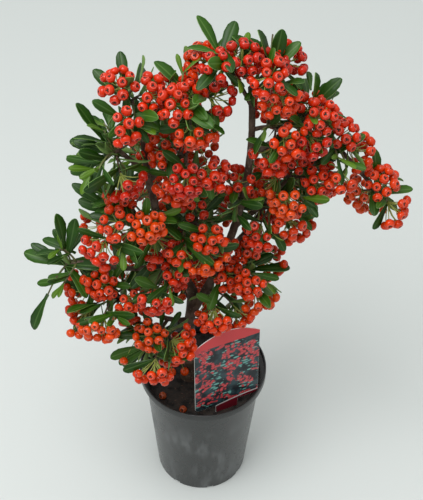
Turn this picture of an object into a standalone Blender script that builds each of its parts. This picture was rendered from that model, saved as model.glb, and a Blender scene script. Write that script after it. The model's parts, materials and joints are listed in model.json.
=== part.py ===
"""Firethorn shrub in its pot, with a picture card standing in the compost.

Metres, +Z up. The origin is the middle of the pot's flat underside. The shrub is a flat, open
fan across X: a short trunk forks into two leaders, side boughs leave the leaders, and each
bough carries masses of foliage, every mass in a space of its own.
"""
import math
import random
from collections import namedtuple

import bmesh
import bpy
from mathutils import Matrix, Quaternion, Vector
from mathutils.bvhtree import BVHTree

# Driving dimensions: the clearances.
GAP = 0.0003                # between pieces that touch
CLEAR = 0.0006              # between a twig, leaf or fruit and the wood or mass beside it
WELD = 0.000001
SHARP = math.radians(35)      # edges of round pieces sharper than this stay crisp

# Driving dimensions: the pot, the compost and the card.
POT_HEIGHT = 0.1542
POT_LIP_R = 0.065
POT_LIP_HEIGHT = 0.0085
POT_TOP_R = 0.0598          # of the wall, just under the lip
POT_FOOT_R = 0.048
POT_WALL = 0.0016
POT_FLOOR = 0.0024
POT_STEPS = 32
COMPOST_TOP = 0.138
COMPOST_STEPS = 24
CARD_WIDTH = 0.0686
CARD_HEIGHT = 0.1148
CARD_THICK = 0.0008
CARD_CORNER = 0.004         # cut off each of its lower corners
CARD_ARCH = 0.013           # rise of the card's top edge at its middle
CARD_ARCH_STEPS = 8
CARD_STAKE_WIDTH = 0.024    # of the narrow foot that stands in the pot
CARD_STAKE_HEIGHT = 0.0108
CARD_FOOT = (0.0248, -0.0425)   # middle of the card's lower edge, seen from above
CARD_TURN = math.radians(25)
CARD_LEAN = math.radians(2.4)
CARD_TILT = 0.0

# Driving dimensions: leaves, fruit and twigs. They are larger and fewer than in life.
LEAF_LENGTH = 0.046
LEAF_SHARES = (1.0, 0.86, 0.74, 0.62)
LEAF_WIDTH = 0.0168
LEAF_WIDEST = 0.56          # share of the length
LEAF_TIP = 0.42             # width of the blunt tip, as a share of the width
LEAF_THICK = 0.0010         # at the widest place
LEAF_ROOT = 0.003           # length near the root where leaves may cross
LEAF_STEP = 0.0036          # between the roots of leaves along a shoot
LEAF_TWIST = 0.5            # how far a leaf's face may turn from the sky
LEAF_RISE = 0.2             # how far its face follows its own direction
BERRY_R = 0.0068
CLUSTER_REACH = 0.0145      # from where the stalks meet to a berry's middle
CLUSTER_SPREAD = math.radians(60)
CLUSTER_BERRIES = 4
CLUSTER_LEAVES = 3          # on the shoot behind a cluster
CLUSTER_INSET = CLUSTER_REACH + 0.6 * BERRY_R
CLUSTER_LEAST = 0.3         # a cluster starts at least this share of the radii out
CLUSTER_DROOP = Vector((0, 0, -0.15))
CLUSTER_STRAY = 0.25
STALK_R = 0.0008
STALK_STEP = 0.0018         # between the places where two stalks leave the twig
STALK_FIRST = 0.6           # of a step, from the twig's end to its first stalk
STEM_R = 0.0026
STEM_TIP_R = 0.0021
STEM_SIDES = 4
STEM_STEPS = 2
STEM_BOW = 0.06             # share of its length
SHOOT_R = 0.0014
SHOOT_TIP_R = 0.0013
SHOOT_BARE = 0.3            # share of a shoot beside the stem where shoots may cross
SHOOT_LEAFY = 0.8           # share of a shoot, from its tip, that bears leaves
GOLDEN_ANGLE = math.radians(137.508)
GOLDEN_SHARE = 0.618
FIRST_SHOOT = 0.5           # share of the stem where shoots begin
SHOOT_LEAVES = 3            # fewest leaves on a leafy shoot
SHOOT_MOST = 7
ROSETTE_REACH = 0.55        # where a leafy shoot ends, as a share of the radii
ROSETTE_FIRST = 0.4         # of a step, from the shoot's end to its first leaf
TIP_STRAY = 0.03
TIP_SUNK = 0.001
TRIES = 60
SKIP = 37                   # of every direction, the one that is tried next
SPACE = 1.12                # how far a leaf or berry may pass a mass's radii
NEIGHBOUR = 0.030           # masses with more than this between them are not compared

# A limb leaves its parent at a share of the parent's length, ends at its tip, and is bowed.
Limb = namedtuple("Limb", "parent share tip bow foot_r tip_r sides")
TRUNK_FOOT = Vector((-0.0135, 0.0, COMPOST_TOP + GAP))
TRUNK_FLARE = 1.75
TRUNK_FLARE_HEIGHT = 0.016
TRUNK_NECK = 1.08
LIMBS = {
    "trunk": Limb(None, 0, (-0.011, 0.002, 0.262), (-0.002, 0, 0), 0.0058, 0.0049, 8),
    "left_leader": Limb("trunk", 1.0, (-0.052, -0.012, 0.487), (-0.012, 0, 0), 0.0044, 0.0024, 7),
    "right_leader": Limb("trunk", 0.80, (0.035, 0.009, 0.500), (0.019, 0, 0), 0.0043, 0.0026, 7),
    "left_shoulder_bough": Limb(
        "left_leader", 0.70, (-0.072, -0.017, 0.452), (-0.002, 0, 0.002), 0.0024, 0.0018, 6),
    "left_arm_bough": Limb(
        "left_leader", 0.20, (-0.101, -0.020, 0.322), (0, 0, -0.009), 0.0030, 0.0019, 6),
    "left_hip_bough": Limb(
        "trunk", 0.74, (-0.063, -0.022, 0.268), (0, 0, -0.007), 0.0028, 0.0019, 6),
    "right_arm_bough": Limb(
        "right_leader", 0.74, (0.134, 0.020, 0.404), (0.002, 0, 0.030), 0.0030, 0.0019, 6),
    "right_waist_bough": Limb(
        "right_leader", 0.44, (0.064, 0.017, 0.383), (0, 0, -0.003), 0.0026, 0.0019, 6),
    "back_left_bough": Limb(
        "left_leader", 0.32, (-0.045, 0.036, 0.368), (-0.004, 0, -0.004), 0.0026, 0.0019, 6),
    "back_right_bough": Limb(
        "right_leader", 0.30, (0.054, 0.038, 0.342), (0.003, 0.004, -0.003), 0.0026, 0.0019, 6),
    "back_low_bough": Limb(
        "trunk", 0.66, (-0.016, 0.034, 0.262), (0, 0.003, -0.004), 0.0027, 0.0019, 6),
}
LIMB_STEP = 0.030           # length of a limb between its rings

# A mass of foliage fills the space round its centre, on a stem from a share of its limb.
# Its tips are the places where a leaf has to reach.
Mass = namedtuple("Mass", "centre radii limb share clusters leaves tips")
MASSES = {
    "top_left_mass": Mass(
        (-0.066, -0.014, 0.504), (0.041, 0.050, 0.034), "left_leader", 1.0, 1, 12,
        ((-0.091, 0.000, 0.521),)),
    "top_inner_mass": Mass(
        (-0.014, -0.008, 0.502), (0.039, 0.052, 0.036), "left_leader", 0.90, 2, 11,
        ((-0.039, 0.010, 0.527), (-0.012, 0.010, 0.534))),
    "left_shoulder_mass": Mass(
        (-0.082, -0.020, 0.452), (0.038, 0.050, 0.036), "left_shoulder_bough", 1.0, 1, 13,
        ((-0.113, -0.010, 0.460), (-0.114, -0.030, 0.436))),
    "inner_mass": Mass(
        (-0.018, -0.006, 0.441), (0.040, 0.052, 0.036), "left_leader", 0.66, 2, 11, ()),
    "left_flank_mass": Mass(
        (-0.062, -0.020, 0.388), (0.048, 0.052, 0.038), "left_leader", 0.46, 2, 12,
        ((-0.108, -0.016, 0.398),)),
    "heart_mass": Mass(
        (-0.006, -0.004, 0.360), (0.040, 0.055, 0.040), "left_leader", 0.34, 2, 11, ()),
    "left_arm_mass": Mass(
        (-0.128, -0.022, 0.320), (0.038, 0.040, 0.042), "left_arm_bough", 1.0, 1, 14,
        ((-0.164, -0.020, 0.331), (-0.152, 0.000, 0.345), (-0.131, 0.000, 0.362),
         (-0.162, -0.050, 0.263))),
    "left_hip_mass": Mass(
        (-0.088, -0.028, 0.278), (0.042, 0.045, 0.038), "left_hip_bough", 1.0, 1, 12,
        ((-0.123, -0.040, 0.249),)),
    "left_belly_mass": Mass(
        (-0.040, -0.016, 0.318), (0.036, 0.055, 0.038), "left_leader", 0.10, 1, 12, ()),
    "left_skirt_mass": Mass(
        (-0.045, -0.046, 0.236), (0.040, 0.042, 0.036), "left_hip_bough", 0.42, 1, 12,
        ((-0.090, -0.050, 0.226), (-0.080, -0.050, 0.212))),
    "inner_foot_mass": Mass(
        (0.012, -0.004, 0.282), (0.034, 0.050, 0.038), "right_leader", 0.10, 1, 9, ()),
    "crest_left_mass": Mass(
        (0.010, 0.004, 0.531), (0.036, 0.046, 0.032), "right_leader", 0.93, 1, 12,
        ((-0.005, 0.020, 0.562), (0.021, 0.026, 0.552))),
    "crest_right_mass": Mass(
        (0.056, 0.014, 0.516), (0.036, 0.048, 0.034), "right_leader", 1.0, 1, 12,
        ((0.040, 0.012, 0.553), (0.058, 0.020, 0.548), (0.072, 0.020, 0.537))),
    "right_shoulder_mass": Mass(
        (0.090, 0.018, 0.475), (0.034, 0.048, 0.036), "right_arm_bough", 0.40, 2, 11,
        ((0.102, 0.018, 0.505),)),
    "right_breast_mass": Mass(
        (0.060, 0.010, 0.460), (0.030, 0.050, 0.036), "right_leader", 0.84, 1, 10, ()),
    "right_waist_mass": Mass(
        (0.078, 0.018, 0.406), (0.042, 0.050, 0.034), "right_waist_bough", 1.0, 2, 11, ()),
    "right_low_mass": Mass(
        (0.062, 0.014, 0.352), (0.040, 0.048, 0.034), "right_waist_bough", 0.55, 1, 11, ()),
    "right_foot_mass": Mass(
        (0.050, 0.006, 0.295), (0.034, 0.048, 0.038), "right_leader", 0.16, 1, 11,
        ((0.084, 0.006, 0.300),)),
    "right_elbow_mass": Mass(
        (0.120, 0.014, 0.440), (0.032, 0.042, 0.032), "right_arm_bough", 0.60, 1, 9,
        ((0.134, 0.020, 0.446),)),
    "right_tip_mass": Mass(
        (0.158, 0.018, 0.380), (0.032, 0.040, 0.038), "right_arm_bough", 1.0, 2, 10,
        ((0.184, 0.020, 0.386), (0.156, 0.030, 0.431))),
    "back_left_mass": Mass(
        (-0.058, 0.058, 0.384), (0.044, 0.038, 0.042), "back_left_bough", 1.0, 1, 12,
        ((-0.066, 0.094, 0.402),)),
    "back_right_mass": Mass(
        (0.066, 0.060, 0.352), (0.040, 0.038, 0.040), "back_right_bough", 1.0, 1, 12,
        ((0.074, 0.096, 0.362),)),
    "back_middle_mass": Mass(
        (-0.008, 0.060, 0.312), (0.040, 0.036, 0.040), "back_low_bough", 1.0, 1, 12,
        ((-0.004, 0.094, 0.322),)),
    "back_low_mass": Mass(
        (-0.030, 0.046, 0.246), (0.038, 0.036, 0.034), "back_low_bough", 0.5, 1, 11,
        ((-0.052, 0.066, 0.224),)),
    "middle_mass": Mass(
        (0.028, -0.002, 0.396), (0.024, 0.044, 0.027), "right_leader", 0.50, 1, 8, ()),
}

# Open gaps that run through the crown, sloping down to the back at 45 degrees: the place in X,
# the height at which the gap crosses Y = 0, and half its width and height.
Opening = namedtuple("Opening", "x z half_x half_z")
OPENINGS = (
    Opening(0.0265, 0.468, 0.0075, 0.030),
    Opening(0.0205, 0.435, 0.0120, 0.007),
    Opening(0.0245, 0.344, 0.0080, 0.009),
    Opening(0.1240, 0.362, 0.0150, 0.018),
)

ICO = (1 + math.sqrt(5)) / 2
BERRY_FACES = (
    (0, 11, 5), (0, 5, 1), (0, 1, 7), (0, 7, 10), (0, 10, 11), (1, 5, 9), (5, 11, 4),
    (11, 10, 2), (10, 7, 6), (7, 1, 8), (3, 9, 4), (3, 4, 2), (3, 2, 6), (3, 6, 8),
    (3, 8, 9), (4, 9, 5), (2, 4, 11), (6, 2, 10), (8, 6, 7), (9, 8, 1))


def clear_scene():
    """Take every object out of the scene."""
    for obj in list(bpy.data.objects):
        bpy.data.objects.remove(obj)


def make_material(name, colour, roughness):
    """A plain Principled finish."""
    material = bpy.data.materials.new(name)
    material.use_nodes = True
    shader = material.node_tree.nodes["Principled BSDF"]
    shader.inputs["Base Color"].default_value = (*colour, 1.0)
    shader.inputs["Roughness"].default_value = roughness
    shader.inputs["Metallic"].default_value = 0.0
    return material


def add_object(name, shape, material):
    """An object of the given points and faces."""
    points, faces = shape
    mesh = bpy.data.meshes.new(name)
    mesh.from_pydata([tuple(p) for p in points], [], faces)
    mesh.materials.append(material)
    mesh.update()
    obj = bpy.data.objects.new(name, mesh)
    bpy.context.scene.collection.objects.link(obj)
    return obj


def bake_modifiers(obj):
    """Replace the object's mesh by the one its modifiers make."""
    graph = bpy.context.evaluated_depsgraph_get()
    graph.update()
    mesh = bpy.data.meshes.new_from_object(obj.evaluated_get(graph))
    obj.modifiers.clear()
    obj.data = mesh


def shells_of(bm):
    """The separate shells of a mesh, the widest first."""
    left = set(bm.verts)
    shells = []
    while left:
        shell = []
        reached = [left.pop()]
        while reached:
            vert = reached.pop()
            shell.append(vert)
            for edge in vert.link_edges:
                other = edge.other_vert(vert)
                if other in left:
                    left.remove(other)
                    reached.append(other)
        shells.append(shell)
    return sorted(shells, key=len, reverse=True)


def keep_largest_shell(obj):
    """Fill sealed hollows and drop loose scraps, and say whether the rest is closed."""
    bm = bmesh.new()
    bm.from_mesh(obj.data)
    bmesh.ops.remove_doubles(bm, verts=bm.verts, dist=WELD)
    bmesh.ops.triangulate(bm, faces=bm.faces)
    for shell in shells_of(bm)[1:]:
        bmesh.ops.delete(bm, geom=shell, context="VERTS")
    closed = all(len(edge.link_faces) == 2 for edge in bm.edges)
    bm.to_mesh(obj.data)
    bm.free()
    return closed


def bowed(start, end, bow, steps):
    """Points along a line from start to end that is bowed sideways at its middle."""
    points = []
    for i in range(steps + 1):
        t = i / steps
        points.append(start.lerp(end, t) + bow * (4 * t * (1 - t)))
    return points


def at_share(points, share):
    """The point and the direction at a share of a line of points."""
    place = share * (len(points) - 1)
    i = min(int(place), len(points) - 2)
    step = points[i + 1] - points[i]
    return points[i] + step * (place - i), step.normalized()


def tube(points, radii, sides):
    """A closed round tube along the points, with a radius at each."""
    verts = []
    faces = []
    direction = (points[1] - points[0]).normalized()
    across = direction.orthogonal().normalized()
    for i, point in enumerate(points):
        ahead = points[min(i + 1, len(points) - 1)]
        behind = points[max(i - 1, 0)]
        turned = (ahead - behind).normalized()
        across = direction.rotation_difference(turned) @ across
        direction = turned
        second = direction.cross(across)
        for k in range(sides):
            angle = 2 * math.pi * k / sides
            offset = across * math.cos(angle) + second * math.sin(angle)
            verts.append(point + offset * radii[i])
    for i in range(len(points) - 1):
        for k in range(sides):
            a = i * sides + k
            b = i * sides + (k + 1) % sides
            faces.append((a, b, b + sides, a + sides))
    last = (len(points) - 1) * sides
    for k in range(1, sides - 1):
        faces.append((0, k + 1, k))
        faces.append((last, last + k, last + k + 1))
    return verts, faces


def tapered(points, foot_r, tip_r, sides):
    """A tube that narrows evenly from foot to tip."""
    last = len(points) - 1
    return tube(points, [foot_r + (tip_r - foot_r) * i / last for i in range(last + 1)], sides)


def leaf(root, direction, facing, length):
    """A leaf of ten faces: a point at the root, widest past the middle, with a blunt tip."""
    side = direction.cross(facing).normalized()
    facing = side.cross(direction).normalized()
    half = LEAF_WIDTH / 2 * length / LEAF_LENGTH
    widest = root + direction * length * LEAF_WIDEST
    tip = root + direction * length
    verts = [
        root, widest + side * half, widest + facing * LEAF_THICK / 2, widest - side * half,
        widest - facing * LEAF_THICK / 2, tip + side * half * LEAF_TIP,
        tip - side * half * LEAF_TIP]
    faces = [
        (0, 1, 2), (0, 2, 3), (0, 3, 4), (0, 4, 1), (1, 5, 2), (2, 5, 6), (2, 6, 3),
        (3, 6, 4), (4, 6, 5), (4, 5, 1)]
    return verts, faces


def berry(centre, turn):
    """A berry of twenty faces."""
    verts = [Vector((a, b, 0)) for b in (ICO, -ICO) for a in (-1, 1)]
    verts += [Vector((0, a, b)) for b in (ICO, -ICO) for a in (-1, 1)]
    verts += [Vector((b, 0, a)) for b in (ICO, -ICO) for a in (-1, 1)]
    return [centre + turn @ v.normalized() * BERRY_R for v in verts], list(BERRY_FACES)


def spike(foot, tip, radius):
    """A three-sided stalk that narrows to a point."""
    direction = (tip - foot).normalized()
    across = direction.orthogonal().normalized()
    second = direction.cross(across)
    verts = []
    for k in range(3):
        angle = 2 * math.pi * k / 3
        offset = across * math.cos(angle) + second * math.sin(angle)
        verts.append(foot + offset * radius)
    verts.append(tip)
    return verts, [(0, 2, 1), (0, 1, 3), (1, 2, 3), (2, 0, 3)]


def limb_line(name):
    """The points and the radii of a limb, from its foot to its tip."""
    limb = LIMBS[name]
    foot = TRUNK_FOOT
    if limb.parent:
        foot, _ = at_share(limb_line(limb.parent)[0], limb.share)
    tip = Vector(limb.tip)
    steps = max(4, round((tip - foot).length / LIMB_STEP))
    points = bowed(foot, tip, Vector(limb.bow), steps)
    radii = [limb.foot_r + (limb.tip_r - limb.foot_r) * i / steps for i in range(steps + 1)]
    if limb.parent is None:
        points.insert(1, foot + Vector((0, 0, TRUNK_FLARE_HEIGHT)))
        radii.insert(1, limb.foot_r * TRUNK_NECK)
        radii[0] = limb.foot_r * TRUNK_FLARE
    return points, radii


def limb_shape(name, grown):
    """A limb's tube, with every wall moved out by the distance given."""
    points, radii = limb_line(name)
    first = points[0] - (points[1] - points[0]).normalized() * grown
    last = points[-1] + (points[-1] - points[-2]).normalized() * grown
    points = [first] + points[1:-1] + [last]
    return tube(points, [r + grown for r in radii], LIMBS[name].sides)


def cut_foot(obj, parent, material):
    """Cut an object's foot to its parent limb's surface, a gap clear of it."""
    cutter = add_object("cutter", limb_shape(parent, GAP), material)
    cutter.hide_render = True
    cutter.display_type = "WIRE"
    cut = obj.modifiers.new("foot", "BOOLEAN")
    cut.operation = "DIFFERENCE"
    cut.solver = "EXACT"
    cut.object = cutter
    bake_modifiers(obj)
    bpy.data.objects.remove(cutter)
    keep_largest_shell(obj)


def make_limb(name, material):
    """One tapering limb."""
    obj = add_object(name, limb_shape(name, 0), material)
    parent = LIMBS[name].parent
    if parent:
        cut_foot(obj, parent, material)
    obj.data.shade_smooth()
    obj.data.set_sharp_from_angle(angle=SHARP)
    return obj


def stem_line(mass):
    """The line of a mass's stem, from its limb to the middle of its space."""
    foot, _ = at_share(limb_line(mass.limb)[0], mass.share)
    end = Vector(mass.centre)
    bow = Vector((0, 0, STEM_BOW * (end - foot).length))
    return bowed(foot, end, bow, STEM_STEPS)


def in_opening(point):
    """Whether a point lies in one of the crown's open gaps."""
    height = point.z + point.y
    for gap in OPENINGS:
        if abs(point.x - gap.x) < gap.half_x and abs(height - gap.z) < gap.half_z:
            return True
    return False


def in_space(name, points):
    """Whether all the points are in a mass's own space, clear of every other mass's."""
    mass = MASSES[name]
    centre = Vector(mass.centre)
    for point in points:
        offset = point - centre
        scaled = Vector((offset[i] / mass.radii[i] for i in range(3)))
        if scaled.length > SPACE or in_opening(point):
            return False
    return in_cell(name, points)


def in_cell(name, points):
    """Whether all the points are nearer to a mass than to any other, for their sizes."""
    mass = MASSES[name]
    centre = Vector(mass.centre)
    size = sum(mass.radii) / 3
    for other_name, other in MASSES.items():
        if other_name == name:
            continue
        other_centre = Vector(other.centre)
        apart = (other_centre - centre).length
        other_size = sum(other.radii) / 3
        if apart > size + other_size + NEIGHBOUR:
            continue
        for point in points:
            near = (point - centre).length_squared - size ** 2
            far = (point - other_centre).length_squared - other_size ** 2
            if far - near < 2 * apart * CLEAR:
                return False
    return True


def tree_of(shape):
    """A search tree of a shape's faces, for finding what touches it."""
    verts, faces = shape
    return BVHTree.FromPolygons([tuple(v) for v in verts], faces)


def touches(shape, trees):
    """Whether a shape touches any of the given ones."""
    own = tree_of(shape)
    return any(own.overlap(tree) for tree in trees)


def sphere_direction(index, count, turn):
    """One of a number of directions spread evenly all round."""
    height = 1 - 2 * (index + 0.5) / count
    ring = math.sqrt(1 - height * height)
    angle = index * GOLDEN_ANGLE + turn
    return Vector((ring * math.cos(angle), ring * math.sin(angle), height))


class MassGrower:
    """Grows one mass by a seeded rule: stem, shoots, and leaves and fruit on the shoots."""

    def __init__(self, name, wood):
        self.name = name
        self.mass = MASSES[name]
        self.centre = Vector(self.mass.centre)
        self.rng = random.Random(name)
        self.wood = wood
        self.tries = 0
        self.pieces = []
        self.shoots = []
        self.leaves = []
        self.berries = []
        self.stem = stem_line(self.mass)

    def fits(self, shape, free=False):
        """Whether a leaf or berry is in the space and off the wood and the fruit."""
        inside = in_cell(self.name, shape[0]) if free else in_space(self.name, shape[0])
        return inside and not touches(shape, self.wood + self.berries)

    def rng_vector(self, size):
        """A small random vector."""
        return Vector((self.rng.uniform(-size, size) for _ in range(3)))

    def shoot(self, end, free=False):
        """A shoot from the stem to its end, or nothing where it would touch what is there."""
        self.tries += 1
        share = FIRST_SHOOT + (1 - FIRST_SHOOT) * (self.tries * GOLDEN_SHARE % 1)
        start, _ = at_share(self.stem, share)
        points = [start, end]
        shape = tapered(points, SHOOT_R, SHOOT_TIP_R, 3)
        outer = tapered([start.lerp(end, SHOOT_BARE), end], SHOOT_R, SHOOT_TIP_R, 3)
        inside = in_cell(self.name, outer[0]) and (free or not any(map(in_opening, outer[0])))
        if not inside or touches(shape, self.wood + self.berries + self.leaves):
            return None
        if touches(outer, self.shoots):
            return None
        return points, shape, outer

    def keep_shoot(self, shape, outer):
        """Keep a shoot that bears something."""
        self.pieces.append(("twig", shape))
        self.shoots.append(tree_of(outer))

    def add_leaf(self, root, direction, free=False):
        """A leaf, shortened where it would leave the space, or none."""
        facing = Vector((0, 0, 1)) + direction * LEAF_RISE + self.rng_vector(LEAF_TWIST)
        for share in LEAF_SHARES:
            length = LEAF_LENGTH * share
            shape = leaf(root, direction, facing, length)
            blade = leaf(root + direction * LEAF_ROOT, direction, facing, length - LEAF_ROOT)
            if self.fits(shape, free) and not touches(blade, self.leaves + self.shoots):
                self.pieces.append(("leaf", shape))
                self.leaves.append(tree_of(blade))
                return 1
        return 0

    def leaves_round(self, points, count, first_back, lean):
        """Leaves that stand out round a shoot, back from its tip, turning by the golden angle."""
        direction = (points[1] - points[0]).normalized()
        length = (points[1] - points[0]).length
        across = direction.orthogonal().normalized()
        first = self.rng.uniform(0, 2 * math.pi)
        grown = 0
        for i in range(count):
            back = first_back + LEAF_STEP * i
            if back > SHOOT_LEAFY * length:
                break
            turned = Quaternion(direction, first + i * GOLDEN_ANGLE) @ across
            root = points[1] - direction * back
            grown += self.add_leaf(root, (direction * lean + turned).normalized())
        return grown

    def fruit_shoot(self, direction):
        """A shoot that ends in a cluster of berries, each on its own stalk."""
        inset = [max(r - CLUSTER_INSET, CLUSTER_LEAST * r) for r in self.mass.radii]
        hub = self.centre + Vector((direction[i] * inset[i] for i in range(3)))
        grown = self.shoot(hub)
        if grown is None:
            return 0
        points, shape, outer = grown
        length = (hub - points[0]).length
        axis = (direction + CLUSTER_DROOP + self.rng_vector(CLUSTER_STRAY)).normalized()
        across = axis.orthogonal().normalized()
        first = self.rng.uniform(0, 2 * math.pi)
        cluster = []
        for i in range(CLUSTER_BERRIES):
            spread = CLUSTER_SPREAD if i else 0.0
            turned = Quaternion(axis, first + i * 2 * math.pi / (CLUSTER_BERRIES - 1)) @ across
            out = axis * math.cos(spread) + turned * math.sin(spread)
            middle = hub + out * CLUSTER_REACH * self.rng.uniform(0.97, 1.06)
            ball = berry(middle, Quaternion(out, self.rng.uniform(0, 1)))
            root, _ = at_share(points, max(1 - STALK_STEP * (i + STALK_FIRST) / length, SHOOT_BARE))
            stalk = spike(root, middle, STALK_R)
            beside = self.leaves + self.shoots
            if self.fits(ball) and self.fits(stalk) and not touches(ball, beside):
                cluster.append((ball, stalk))
        if len(cluster) < CLUSTER_BERRIES - 1:
            return 0
        for ball, stalk in cluster:
            self.pieces.append(("berry", ball))
            self.pieces.append(("stalk", stalk))
            self.berries.append(tree_of(ball))
        self.leaves_round(points, CLUSTER_LEAVES, STALK_STEP * (CLUSTER_BERRIES + 1), 0.7)
        self.keep_shoot(shape, outer)
        return 1

    def leaf_shoot(self, direction):
        """A shoot that bears a rosette of leaves."""
        reach = Vector((direction[i] * self.mass.radii[i] * ROSETTE_REACH for i in range(3)))
        grown = self.shoot(self.centre + reach)
        if grown is None:
            return
        points, shape, outer = grown
        leaves, pieces = len(self.leaves), len(self.pieces)
        most = min(SHOOT_MOST, self.mass.leaves - leaves + 1)
        borne = self.leaves_round(points, most, LEAF_STEP * ROSETTE_FIRST, 0.8)
        if borne >= min(SHOOT_LEAVES, most):
            self.keep_shoot(shape, outer)
        else:
            del self.leaves[leaves:]
            del self.pieces[pieces:]

    def tip_shoot(self, tip):
        """A shoot whose last leaf ends at the given tip, with two leaves beside it."""
        tip = Vector(tip)
        out = (tip - self.centre).normalized()
        for turn in range(TRIES):
            direction = (out + self.rng_vector(TIP_STRAY * turn)).normalized()
            root = tip - direction * LEAF_LENGTH
            grown = self.shoot(root + direction * TIP_SUNK, free=True)
            if grown and self.add_leaf(root, direction, free=True):
                points, shape, outer = grown
                self.leaves_round(points, 3, LEAF_STEP, 1.0)
                self.keep_shoot(shape, outer)
                return

    def grow(self):
        """Tips first, then fruit, then rosettes, each in the first directions that have room."""
        for tip in self.mass.tips:
            self.tip_shoot(tip)
        turn = self.rng.uniform(0, 2 * math.pi)
        clusters = 0
        for k in range(TRIES):
            if clusters < self.mass.clusters:
                clusters += self.fruit_shoot(sphere_direction(k * SKIP % TRIES, TRIES, turn))
        for k in range(TRIES):
            if len(self.leaves) < self.mass.leaves:
                self.leaf_shoot(sphere_direction(k * SKIP % TRIES, TRIES, turn + 0.5))


def make_mass(name, wood, finishes):
    """One mass of foliage: everything on it is joined to its stem in one Boolean union."""
    grower = MassGrower(name, wood)
    grower.grow()
    stem = tapered(grower.stem, STEM_R, STEM_TIP_R, STEM_SIDES)
    obj = add_object(name, stem, finishes["twig"])
    cut_foot(obj, grower.mass.limb, finishes["twig"])
    growth = bpy.data.collections.new(name + "_growth")
    bpy.context.scene.collection.children.link(growth)
    for kind, shape in grower.pieces:
        piece = add_object(kind, shape, finishes[kind])
        bpy.context.scene.collection.objects.unlink(piece)
        growth.objects.link(piece)
    bare_stem = obj.data
    for solver in ("EXACT", "MANIFOLD"):
        obj.data = bare_stem
        union = obj.modifiers.new("growth", "BOOLEAN")
        union.operation = "UNION"
        union.solver = solver
        union.operand_type = "COLLECTION"
        union.collection = growth
        if solver == "EXACT":
            union.material_mode = "TRANSFER"
        bake_modifiers(obj)
        if keep_largest_shell(obj):
            break
    for piece in list(growth.objects):
        bpy.data.objects.remove(piece)
    bpy.data.collections.remove(growth)
    return obj


def turned(name, profile, steps, material):
    """A round piece turned from its profile of (radius, height) points."""
    bm = bmesh.new()
    verts = [bm.verts.new((radius, 0, height)) for radius, height in profile]
    edges = [bm.edges.new((verts[i], verts[i + 1])) for i in range(len(verts) - 1)]
    bmesh.ops.spin(
        bm, geom=verts + edges, cent=(0, 0, 0), axis=(0, 0, 1), angle=2 * math.pi, steps=steps)
    bmesh.ops.remove_doubles(bm, verts=bm.verts, dist=WELD)
    bmesh.ops.recalc_face_normals(bm, faces=bm.faces)
    mesh = bpy.data.meshes.new(name)
    bm.to_mesh(mesh)
    bm.free()
    mesh.materials.append(material)
    mesh.shade_smooth()
    mesh.set_sharp_from_angle(angle=SHARP)
    obj = bpy.data.objects.new(name, mesh)
    bpy.context.scene.collection.objects.link(obj)
    return obj


def wall_radius(height):
    """The pot wall's outer radius at a height."""
    top = POT_HEIGHT - POT_LIP_HEIGHT
    return POT_FOOT_R + (POT_TOP_R - POT_FOOT_R) * height / top


def make_pot(material):
    """A thin tapered pot with a lip round its mouth."""
    under_lip = POT_HEIGHT - POT_LIP_HEIGHT
    profile = [
        (0, 0), (POT_FOOT_R, 0), (POT_TOP_R, under_lip), (POT_LIP_R, under_lip),
        (POT_LIP_R, POT_HEIGHT), (POT_LIP_R - POT_WALL, POT_HEIGHT),
        (POT_LIP_R - POT_WALL, under_lip + POT_WALL), (POT_TOP_R - POT_WALL, under_lip),
        (POT_FOOT_R - POT_WALL, POT_FLOOR), (0, POT_FLOOR)]
    return turned("pot", profile, POT_STEPS, material)


def make_compost(material):
    """The compost that fills the pot, clear of the wall all round."""
    clear = POT_WALL + 2 * GAP
    shrink = math.cos(math.pi / COMPOST_STEPS)
    low = POT_FLOOR + GAP
    profile = [
        (0, low), (shrink * (wall_radius(low) - clear), low),
        (shrink * (wall_radius(COMPOST_TOP) - clear), COMPOST_TOP), (0, COMPOST_TOP)]
    return turned("compost", profile, COMPOST_STEPS, material)


def card_outline():
    """The card's outline in its own plane: a narrow foot, cut lower corners and an arched top."""
    half = CARD_WIDTH / 2
    stake = CARD_STAKE_WIDTH / 2
    low = CARD_STAKE_HEIGHT
    right = [(stake, 0), (stake, low), (half - CARD_CORNER, low), (half, low + CARD_CORNER)]
    top = []
    for i in range(CARD_ARCH_STEPS + 1):
        x = half * (1 - 2 * i / CARD_ARCH_STEPS)
        top.append((x, CARD_HEIGHT - CARD_ARCH * (x / half) ** 2))
    return right + top + [(-x, z) for x, z in reversed(right)]


def card_shape(grown):
    """The card's slab in its place, with its two faces moved out by the distance given."""
    turn = Matrix.Rotation(CARD_TURN, 3, "Z")
    lean = Matrix.Rotation(-CARD_LEAN, 3, "X")
    tilt = Matrix.Rotation(CARD_TILT, 3, "Y")
    outline = card_outline()
    count = len(outline)
    verts = []
    for y in (-CARD_THICK / 2 - grown, CARD_THICK / 2 + grown):
        verts += [turn @ lean @ tilt @ Vector((x, y, z)) for x, z in outline]
    lowest = min(v.z for v in verts)
    place = Vector((*CARD_FOOT, COMPOST_TOP + GAP - lowest))
    faces = [tuple(range(count)), tuple(reversed(range(count, 2 * count)))]
    for k in range(count):
        after = (k + 1) % count
        faces.append((k, k + count, after + count, after))
    return [v + place for v in verts], faces


def make_card(material):
    """A thin picture card with a low arched top, standing in the front of the pot."""
    return add_object("picture_card", card_shape(0), material)


def grown_wood():
    """Search trees of every limb and the card, and of every mass's stem by the mass's name."""
    limbs = [tree_of(limb_shape(name, CLEAR)) for name in LIMBS] + [tree_of(card_shape(CLEAR))]
    stems = {}
    for name, mass in MASSES.items():
        stems[name] = tree_of(tapered(
            stem_line(mass), STEM_R + CLEAR, STEM_TIP_R + CLEAR, STEM_SIDES))
    return limbs, stems


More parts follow.
